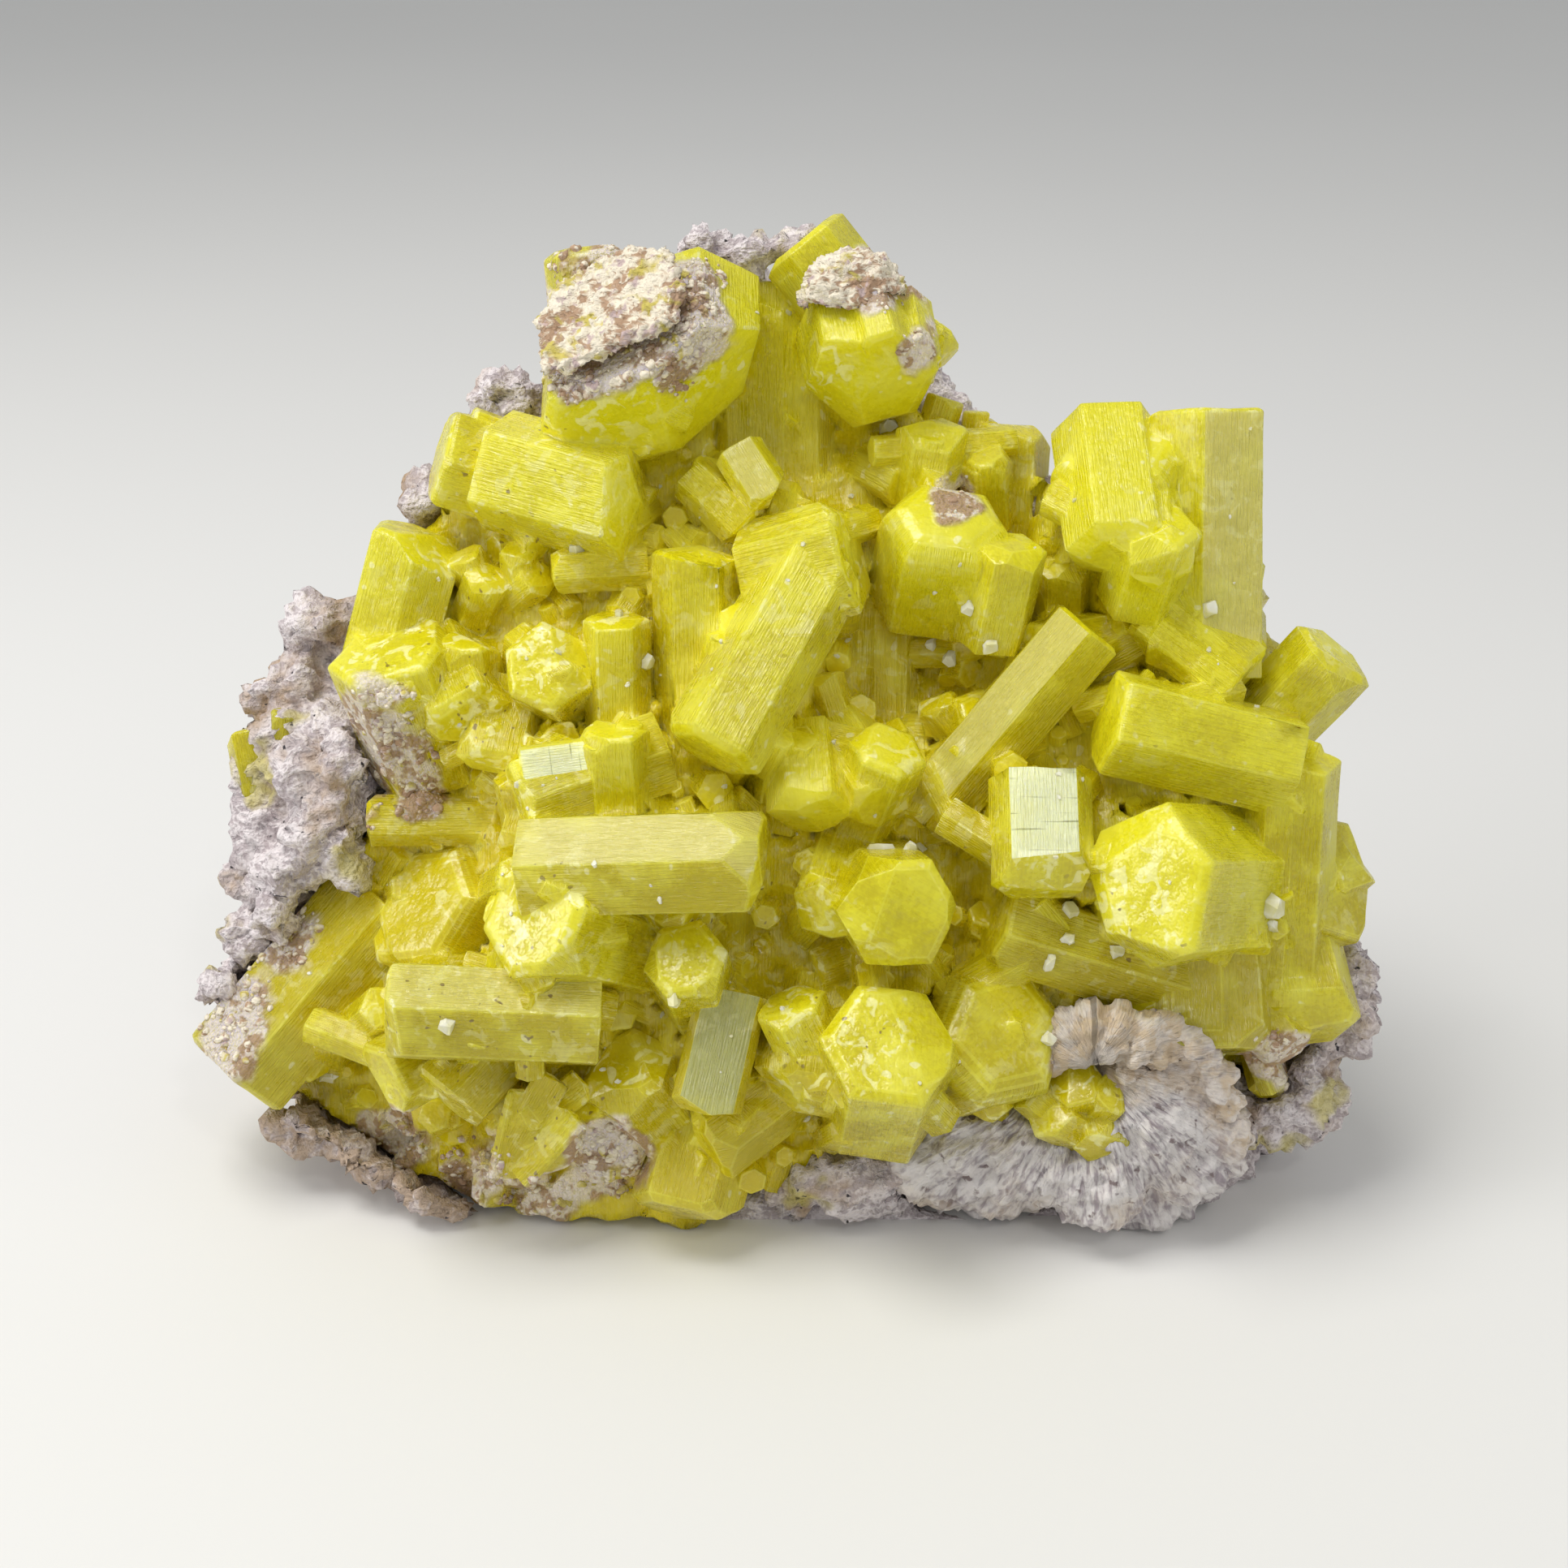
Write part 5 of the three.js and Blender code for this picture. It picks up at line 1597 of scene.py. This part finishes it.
@dataclass
class Nodes:
    """A material's node graph, written in short.

    Fields: the material's name, the material itself, and which inputs of a colour mix hold its
    two colours.
    """

    COLOUR_INPUTS: ClassVar[tuple[int, int]] = (6, 7)
    name: str
    material: Material = field(init=False)

    def __post_init__(self) -> None:
        """Starts an empty graph with its output node."""
        self.material = bpy.data.materials.new(self.name)
        self.material.use_nodes = True
        self.tree.nodes.clear()
        self.output = self.add("ShaderNodeOutputMaterial")

    @property
    def tree(self) -> NodeTree:
        """Returns the graph itself."""
        return self.material.node_tree

    def add(self, kind: str, **settings: object) -> Node:
        """Adds a node and sets its properties.

        Args:
            kind: The node's type.
            settings: Its properties by name.

        Returns:
            The node.
        """
        node = self.tree.nodes.new(kind)
        for key, value in settings.items():
            setattr(node, key, value)
        return node

    def feed(self, node: Node, socket: str | int, value: object) -> None:
        """Links a socket, or sets it where the value is a plain one.

        Args:
            node: The node that takes the value.
            socket: Its input's name or number.
            value: Another node's output, or a plain value.
        """
        if isinstance(value, NodeSocket):
            self.tree.links.new(value, node.inputs[socket])
        else:
            node.inputs[socket].default_value = value

    def feed_all(self, node: Node, **inputs: object) -> Node:
        """Links or sets several inputs of a node.

        Args:
            node: The node.
            inputs: What they take by name, with a low line for each space.

        Returns:
            The node.
        """
        for key, value in inputs.items():
            self.feed(node, key.replace("_", " "), value)
        return node

    def math(self, operation: str, *values: object, clamped: bool = False) -> NodeSocket:
        """Adds a math node on one to three values.

        Args:
            operation: What the node does.
            values: What it works on, in order.
            clamped: Whether its result is held between 0 and 1.

        Returns:
            The result.
        """
        node = self.add("ShaderNodeMath", operation=operation, use_clamp=clamped)
        for index, value in enumerate(values):
            self.feed(node, index, value)
        return node.outputs[0]

    def times(self, first: object, second: object, clamped: bool = False) -> NodeSocket:
        """Returns the product of two values."""
        return self.math("MULTIPLY", first, second, clamped=clamped)

    def plus(self, first: object, second: object) -> NodeSocket:
        """Returns the sum of two values."""
        return self.math("ADD", first, second)

    def minus(self, first: object, second: object) -> NodeSocket:
        """Returns the first value less the second."""
        return self.math("SUBTRACT", first, second)

    def total(self, *terms: tuple[object, object]) -> NodeSocket:
        """Adds up values, each times its weight.

        Args:
            terms: The values with their weights, which may be values themselves.

        Returns:
            The sum.
        """
        first, *rest = (self.times(value, weight) for value, weight in terms)
        for term in rest:
            first = self.plus(first, term)
        return first

    def parts(self, value: NodeSocket, kind: str = "XYZ") -> list[NodeSocket]:
        """Splits a vector, or a colour, into its three parts.

        Args:
            value: What is split.
            kind: "XYZ" for a vector and "Color" for a colour.

        Returns:
            The three parts.
        """
        node = self.add("ShaderNodeSeparate" + kind)
        self.feed(node, 0, value)
        return list(node.outputs)

    def object_place(self) -> NodeSocket:
        """Returns the Object coordinates in metres."""
        return self.add("ShaderNodeTexCoord").outputs["Object"]

    def scaled(self, vector: NodeSocket, scale: Triple) -> NodeSocket:
        """Multiplies a vector part by part.

        Args:
            vector: The vector.
            scale: What each of its parts is multiplied by.

        Returns:
            The scaled vector.
        """
        node = self.add("ShaderNodeVectorMath", operation="MULTIPLY")
        self.feed(node, 0, vector)
        self.feed(node, 1, scale)
        return node.outputs[0]

    def noise(
        self, vector: NodeSocket, scale: float, detail: float, distortion: float = 0.0
    ) -> NodeSocket:
        """Returns a noise from 0 to 1.

        Args:
            vector: Where it is read.
            scale: Its cells to the unit.
            detail: Its octaves.
            distortion: How far it is drawn out.

        Returns:
            The noise's value.
        """
        node = self.add("ShaderNodeTexNoise")
        self.feed_all(node, Vector=vector, Scale=scale, Detail=detail, Distortion=distortion)
        return node.outputs["Fac"]

    def ramp(
        self, value: NodeSocket, low: float, high: float, start: float = 0.0, end: float = 1.0
    ) -> NodeSocket:
        """Maps one range of a value smoothly to another.

        Args:
            value: The value.
            low: Where the range begins.
            high: Where it ends.
            start: The result at and before its beginning.
            end: The result at and past its end.

        Returns:
            The mapped value.
        """
        node = self.add("ShaderNodeMapRange", interpolation_type="SMOOTHSTEP")
        for index, part in enumerate((value, low, high, start, end)):
            self.feed(node, index, part)
        return node.outputs[0]

    def mix(self, factor: object, first: object, second: object) -> NodeSocket:
        """Mixes two colours.

        Args:
            factor: How much of the second there is, from 0 to 1.
            first: A colour, or an output that gives one.
            second: The other colour.

        Returns:
            The mixed colour.
        """
        node = self.add("ShaderNodeMix", data_type="RGBA", blend_type="MIX")
        self.feed(node, 0, factor)
        for index, colour in zip(self.COLOUR_INPUTS, (first, second)):
            self.feed(node, index, (*colour, 1.0) if isinstance(colour, tuple) else colour)
        return node.outputs[2]

    def attribute(self, name: str) -> Node:
        """Adds a reader of one of the mesh's own attributes."""
        return self.add("ShaderNodeAttribute", attribute_name=name)

    def bump(self, height: NodeSocket, distance: float, strength: float = 1.0) -> NodeSocket:
        """Bends the normal as if the skin had a relief.

        Args:
            height: The relief's height.
            distance: What a height of 1 stands for, in metres.
            strength: How much of the bend is used.

        Returns:
            The bent normal.
        """
        node = self.add("ShaderNodeBump")
        self.feed_all(node, Height=height, Distance=distance, Strength=strength)
        return node.outputs[0]

    def surface(self, **inputs: object) -> Material:
        """Ends the graph in a principled surface.

        Args:
            inputs: Its inputs by name, with a low line for each space.

        Returns:
            The finished material.
        """
        shader = self.add("ShaderNodeBsdfPrincipled", subsurface_method="BURLEY")
        self.feed_all(shader, **inputs)
        self.tree.links.new(shader.outputs[0], self.output.inputs["Surface"])
        return self.material


@dataclass(frozen=True)
class CrystalFinish:
    """Waxy, see-into yellow crystal: striated sides, pits, specks and residue, with painted shade in the
    recesses, painted highlights on rims and facets, painted reflections and painted glints.
    """

    # Bright and deep are the ends of the body's range, which mixes random texture with painted light and
    # shade.
    bright: Triple = (0.73, 0.68, 0.010)
    deep: Triple = (0.48, 0.40, 0.002)
    # Painted shade: the darker olive painted into the recesses between the crystals.
    painted_recess_shade_colour: Triple = (0.62, 0.50, 0.001)
    # Painted highlight on chosen facets, as if they reflected the lamps.
    pale: Triple = (0.64, 0.58, 0.14)
    # Partly cloudy veils in the crystal, partly a painted highlight along the rounded rims.
    veil_and_rim_highlight: Triple = (0.78, 0.75, 0.10)
    flake: Triple = (0.88, 0.87, 0.42)
    # Painted glint colour.
    spark: Triple = (0.93, 0.93, 0.66)
    # Painted reflection on the mirror-like facets.
    painted_reflection: Triple = (0.76, 0.79, 0.46)
    glassy: Triple = (0.40, 0.40, 0.13)
    lines_dark: Triple = (0.36, 0.38, 0.16)
    stain: Triple = (0.16, 0.10, 0.03)
    crust_brown: Triple = (0.46, 0.31, 0.17)
    crust_white: Triple = (0.80, 0.71, 0.56)
    glow: float = 0.0013
    roughness: float = 0.25

    @cache
    def material(self) -> Material:
        """Builds the node graph once, as several pieces share it.

        Returns:
            The material.
        """
        g = Nodes("sturmanite")
        place = g.object_place()
        grain = g.add("ShaderNodeUVMap", uv_map=GRAIN).outputs[0]
        marks = g.attribute(TINT)
        tone_and_painted_light, flag, end = g.parts(marks.outputs["Color"], "Color")
        rim = marks.outputs["Alpha"]
        painted_recess_shade = g.attribute(PAINTED_RECESS_SHADE).outputs["Fac"]
        soil = g.attribute(SOIL).outputs["Fac"]
        lines = g.noise(g.scaled(grain, (14.0, 0.9, 1.0)), 1.0, 2.0)
        cross = g.noise(g.scaled(grain, (0.3, 7.0, 1.0)), 1.0, 2.0)
        cloud = g.noise(place, 480.0, 2.0)
        broad = g.noise(place, 150.0, 1.0)
        grit = g.noise(place, 5600.0, 1.0)
        pits = g.noise(place, 3800.0, 0.0)
        painted_glints = g.noise(place, 2600.0, 0.0)
        # Brightness: random striations, clouds and grit, each crystal's painted light and shade, and a
        # painted highlight that lightens rims and end faces.
        level = g.total(
            (g.ramp(lines, 0.3, 0.7), 0.11), (g.ramp(cloud, 0.3, 0.7), 0.34),
            (g.ramp(grit, 0.3, 0.7), 0.18), (g.minus(tone_and_painted_light, 0.33), 0.8), (g.plus(rim, end), 0.08),
        )
        # Painted light: lighter towards the top, darker towards the bottom.
        level = g.plus(level, g.ramp(g.parts(place)[2], 0.003, 0.033, -0.24, 0.24))
        body = g.mix(g.ramp(level, 0.0, 0.9), self.deep, self.bright)
        # Painted shade: darker olive in the recesses between the crystals.
        body = g.mix(g.times(painted_recess_shade, 0.8), body, self.painted_recess_shade_colour)
        # Painted highlights on the chosen facets, broken by the striations; glassy facets are darker.
        painted_highlight_by = g.times(g.ramp(flag, 0.5, 0.75), g.ramp(lines, 0.25, 0.65, 0.7, 0.9), clamped=True)
        body = g.mix(painted_highlight_by, body, self.pale)
        body = g.mix(g.ramp(flag, 0.4, 0.1), body, self.glassy)
        # Painted reflection on the mirror-like facets, crossed by dark striations.
        painted_reflection_by = g.ramp(flag, 0.9, 0.98)
        body = g.mix(painted_reflection_by, body, g.mix(g.ramp(cross, 0.38, 0.30), self.painted_reflection, self.lines_dark))
        # Cloudy veils, and a painted highlight along the rounded rims.
        mist = g.times(g.ramp(cloud, 0.48, 0.72), g.ramp(lines, 0.3, 0.6, 0.5, 1.0))
        body = g.mix(g.total((mist, 0.4), (rim, 0.25)), body, self.veil_and_rim_highlight)
        sugar = g.times(g.ramp(g.noise(place, 1500.0, 4.0, 1.0), 0.54, 0.62), g.ramp(broad, 0.42, 0.58))
        sugar = g.times(sugar, g.ramp(g.plus(end, rim), 0.0, 1.0, 0.25, 0.6))
        body = g.mix(sugar, body, self.flake)
        # Painted glints: small bright specks.
        painted_shine = g.times(g.ramp(painted_glints, 0.73, 0.79), g.ramp(cloud, 0.5, 0.6))
        body = g.mix(g.times(painted_shine, 0.4), body, self.spark)
        dirt = g.times(g.ramp(pits, 0.76, 0.82), g.ramp(broad, 0.55, 0.65))
        body = g.mix(g.times(dirt, 0.8), body, self.stain)
        rubble = g.noise(place, 2300.0, 2.0)
        zone = g.plus(g.noise(place, 620.0, 2.0), g.times(g.minus(rubble, 0.5), 0.9))
        crust = g.mix(g.ramp(zone, 0.4, 0.54), self.crust_brown, self.crust_white)
        soiled = g.ramp(g.plus(soil, g.times(g.minus(cloud, 0.5), 2.6)), 0.3, 0.62)
        soiled = g.times(soiled, g.ramp(soil, 0.0, 0.2))
        body = g.mix(soiled, body, crust)
        height = g.total(
            (g.times(lines, g.minus(1.0, end)), 0.75), (g.noise(place, 1300.0, 1.0), 0.9),
            (grit, g.math("MULTIPLY_ADD", soiled, 2.0, 0.22)), (cloud, 0.8),
        )
        rough = g.ramp(g.plus(cloud, g.times(grit, 0.4)), 0.4, 1.0, self.roughness - 0.09, 0.42)
        rough = g.plus(rough, g.times(soiled, 0.4))
        return g.surface(
            Base_Color=body, Roughness=rough, IOR=1.5, Subsurface_Weight=0.6,
            Subsurface_Radius=(1.0, 0.85, 0.06), Subsurface_Scale=self.glow,
            Normal=g.bump(height, 0.00016, 0.9), Specular_IOR_Level=0.55,
            Coat_Weight=0.2, Coat_Roughness=0.13,
        )


@dataclass(frozen=True)
class RockFinish:
    """Grainy lavender-white rock with brown stains and black specks."""

    pale: Triple = (0.84, 0.77, 0.77)
    grey: Triple = (0.50, 0.43, 0.44)
    tan: Triple = (0.44, 0.31, 0.20)
    yellow: Triple = (0.60, 0.52, 0.10)
    black: Triple = (0.03, 0.025, 0.03)

    def material(self) -> Material:
        """Builds the node graph.

        Returns:
            The material.
        """
        g = Nodes("matrix")
        place = g.object_place()
        broad = g.noise(place, 190.0, 4.0, 0.4)
        grain = g.noise(place, 1500.0, 5.0, 0.3)
        grit = g.noise(place, 6000.0, 3.0)
        strands = g.noise(g.scaled(place, (1.0, 1.0, 4.0)), 500.0, 5.0, 1.2)
        mottle = g.total((strands, 0.5), (grain, 0.5), (g.minus(grit, 0.5), 0.5))
        body = g.mix(g.ramp(mottle, 0.4, 0.56), self.grey, self.pale)
        stained = g.times(g.ramp(broad, 0.5, 0.64), g.ramp(grain, 0.35, 0.6, 0.3, 1.0))
        across, _, up = g.parts(place)
        foot = g.times(g.ramp(up, 0.0085, 0.005), g.ramp(across, -0.002, -0.006))
        foot = g.times(foot, g.ramp(grain, 0.38, 0.55, 0.25, 0.85))
        body = g.mix(g.math("MAXIMUM", stained, foot), body, self.tan)
        body = g.mix(g.times(g.ramp(g.noise(place, 330.0, 3.0), 0.6, 0.7), 0.7), body, self.yellow)
        specks = g.ramp(g.noise(place, 2300.0, 2.0), 0.69, 0.75)
        body = g.mix(specks, body, self.black)
        height = g.total((strands, 0.6), (grain, 0.6), (grit, 0.5))
        return g.surface(
            Base_Color=body, Roughness=g.ramp(grain, 0.3, 0.7, 0.55, 0.9),
            Normal=g.bump(height, 0.00035, 1.0),
        )


@dataclass(frozen=True)
class NoduleFinish:
    """Silky grey-lavender fibres with a beige granular rim."""

    pale: Triple = (0.72, 0.68, 0.66)
    shade: Triple = (0.34, 0.29, 0.31)
    beige: Triple = (0.68, 0.54, 0.38)
    cream: Triple = (0.80, 0.71, 0.62)
    pit: Triple = (0.22, 0.17, 0.17)

    def material(self) -> Material:
        """Builds the node graph.

        Returns:
            The material.
        """
        g = Nodes("nodule")
        place = g.object_place()
        broad = g.noise(place, 260.0, 3.0, 0.4)
        grain = g.noise(place, 3500.0, 3.0)
        fan = g.attribute(FIBRE).outputs["Vector"]
        fibres = g.noise(g.scaled(fan, (9.0, 1.5, 1.0)), 1.0, 4.0, 0.8)
        streaks = g.noise(g.scaled(fan, (2.2, 0.6, 1.0)), 1.0, 2.0, 0.8)
        dark = g.total((fibres, 0.55), (streaks, 0.35), (grain, 0.2))
        body = g.mix(g.ramp(dark, 0.42, 0.6), self.shade, self.pale)
        body = g.mix(g.ramp(g.noise(place, 1700.0, 3.0), 0.62, 0.7), body, self.pit)
        rim = g.mix(g.ramp(g.noise(place, 1300.0, 4.0, 0.5), 0.42, 0.58), self.beige, self.cream)
        dusted = g.plus(g.attribute(SOIL).outputs["Fac"], g.times(g.ramp(broad, 0.5, 0.66), 0.5))
        body = g.mix(g.times(dusted, g.ramp(grain, 0.3, 0.55, 0.55, 1.0), clamped=True), body, rim)
        height = g.plus(fibres, g.times(grain, 0.5))
        return g.surface(
            Base_Color=body, Roughness=g.ramp(grain, 0.3, 0.7, 0.4, 0.75),
            Normal=g.bump(height, 0.00016, 0.9),
        )


@dataclass(frozen=True)
class CrustFinish:
    """Brown, tan and white granular crust."""

    brown: Triple = (0.46, 0.30, 0.19)
    rose: Triple = (0.58, 0.45, 0.43)
    white: Triple = (0.88, 0.80, 0.64)
    olive: Triple = (0.62, 0.52, 0.12)

    @cache
    def material(self) -> Material:
        """Builds the node graph once, as several pieces share it.

        Returns:
            The material.
        """
        g = Nodes("crust")
        place = g.object_place()
        patches = g.noise(g.scaled(place, (1.0, 1.0, 1.8)), 2300.0, 6.0, 1.0)
        grain = g.noise(place, 4200.0, 3.0)
        zone = g.plus(g.noise(place, 620.0, 3.0, 0.6), g.times(g.minus(patches, 0.5), 0.9))
        body = g.mix(g.ramp(zone, 0.36, 0.52), self.brown, self.white)
        body = g.mix(g.ramp(g.noise(place, 1900.0, 3.0), 0.56, 0.66), body, self.rose)
        body = g.mix(g.ramp(g.noise(place, 900.0, 5.0, 0.8), 0.54, 0.66), body, self.olive)
        height = g.plus(patches, g.times(grain, 0.5))
        return g.surface(
            Base_Color=body, Roughness=g.ramp(grain, 0.3, 0.7, 0.6, 0.95),
            Normal=g.bump(height, 0.0002, 1.0),
        )


@dataclass(frozen=True)
class ChipFinish:
    """Frosty white of the tiny crystals."""

    white: Triple = (0.80, 0.79, 0.66)
    tinted: Triple = (0.68, 0.65, 0.34)

    def material(self) -> Material:
        """Builds the node graph.

        Returns:
            The material.
        """
        g = Nodes("white crystals")
        cloud = g.noise(g.object_place(), 1400.0, 3.0)
        body = g.mix(g.ramp(cloud, 0.35, 0.6), self.tinted, self.white)
        return g.surface(
            Base_Color=body, Roughness=g.ramp(cloud, 0.3, 0.7, 0.3, 0.5), Subsurface_Weight=0.4,
            Subsurface_Radius=(1.0, 1.0, 0.7), Subsurface_Scale=0.0003,
            Normal=g.bump(cloud, 0.00005, 0.6),
        )


@dataclass(frozen=True)
class FloorFinish:
    """Plain pale paper."""

    pale: Triple = (0.77, 0.765, 0.745)

    def material(self) -> Material:
        """Builds the node graph.

        Returns:
            The material.
        """
        g = Nodes("floor")
        cloud = g.noise(g.object_place(), 9.0, 2.0)
        body = g.mix(g.ramp(cloud, 0.3, 0.7), tuple(part * 0.985 for part in self.pale), self.pale)
        return g.surface(Base_Color=body, Roughness=0.85)


# ---- Studio ----


@dataclass
class Studio:
    """Pale floor, soft lights and the camera that faces the crystals squarely.

    Fields: the camera's focal length and sensor in millimetres, the sky's strength and colour,
    the floor's half width, and the height in metres that the lights look at.
    """

    lens: float = 50.31
    sensor: float = 36.0
    world_light: float = 0.48
    sky: Triple = (0.97, 0.985, 1.0)
    floor_size: float = 2.0
    aim_height: float = 0.015

    def build(self) -> None:
        """Sets up the floor, the lights, the sky and the camera."""
        bpy.context.scene.view_settings.view_transform = "Standard"
        self._floor()
        self._light("key", (-0.075, -0.03, 0.25), 0.12, 0.39, (1.0, 0.985, 0.96))
        self._light("right", (0.22, -0.08, 0.10), 0.09, 0.04, (1.0, 0.99, 0.98))
        self._light("spark", (0.06, -0.16, 0.20), 0.02, 0.04, (1.0, 1.0, 0.98))
        self._light("left", (-0.22, -0.06, 0.09), 0.09, 0.16, (0.99, 0.99, 1.0))
        self._sky()
        self._camera()

    def _floor(self) -> None:
        """Lays the floor."""
        bm = bmesh.new()
        bmesh.ops.create_grid(bm, x_segments=4, y_segments=4, size=self.floor_size)
        floor = object_from(bm, "floor")
        coat(floor, FloorFinish().material())

    def _light(self, name: str, place: Triple, size: float, power: float, colour: Triple) -> None:
        """Hangs a square soft light that looks at the specimen.

        Args:
            name: Its name.
            place: Where it hangs, in metres.
            size: Its side in metres.
            power: Its power in watts.
            colour: Its colour.
        """
        lamp = bpy.data.lights.new(name, "AREA")
        lamp.size = size
        lamp.energy = power
        lamp.color = colour
        holder = bpy.data.objects.new(name, lamp)
        aim = Vector((0, 0, self.aim_height)) - Vector(place)
        holder.matrix_world = Matrix.Translation(place) @ facing(aim, "-Z")
        bpy.context.scene.collection.objects.link(holder)

    def _sky(self) -> None:
        """Lights everything evenly from all round."""
        world = bpy.data.worlds.new("studio")
        world.use_nodes = True
        background = world.node_tree.nodes["Background"]
        background.inputs["Color"].default_value = (*self.sky, 1.0)
        background.inputs["Strength"].default_value = self.world_light
        bpy.context.scene.world = world

    def _camera(self) -> None:
        """Sets the camera square to the crystal-covered face."""
        lens = bpy.data.cameras.new("camera")
        lens.lens = self.lens
        lens.sensor_width = self.sensor
        lens.clip_start = 0.005
        lens.dof.use_dof = False
        camera = bpy.data.objects.new("camera", lens)
        lean = math.radians(FACE.lean)
        back = Vector((0, -math.cos(lean), math.sin(lean)))
        rise = Vector((0, math.sin(lean), math.cos(lean)))
        turned = Matrix((Vector((1, 0, 0)), rise, back)).transposed().to_4x4()
        eye = FACE.to_world() @ Vector((0, FACE.eye_level, FACE.eye_distance))
        camera.matrix_world = Matrix.Translation(eye) @ turned
        bpy.context.scene.collection.objects.link(camera)
        bpy.context.scene.camera = camera


def report(*pieces: Object) -> None:
    """Logs each piece's name and how many faces it has."""
    for piece in pieces:
        LOG.info("%s: %d faces", piece.name, len(piece.data.polygons))


def main() -> None:
    """Builds every piece in order and reports it."""
    logging.basicConfig(level=logging.INFO, format="%(name)s: %(message)s")
    crystal_finish, crust_finish = CrystalFinish(), CrustFinish()
    cluster = Cluster().build(crystal_finish)
    report(cluster)
    report(MatrixRock().build(RockFinish()))
    flank = prism_piece(FLANK_CRYSTALS, "flank_crystals", crystal_finish)
    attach(flank, "root")
    report(flank)
    report(*Nodule().build(NoduleFinish(), crystal_finish))
    report(*CrownCrusts().build(crust_finish))
    report(Residue().build(cluster, crust_finish))
    report(WhiteCrystals().build(cluster, ChipFinish()))
    Studio().build()


if __name__ == "__main__":
    main()
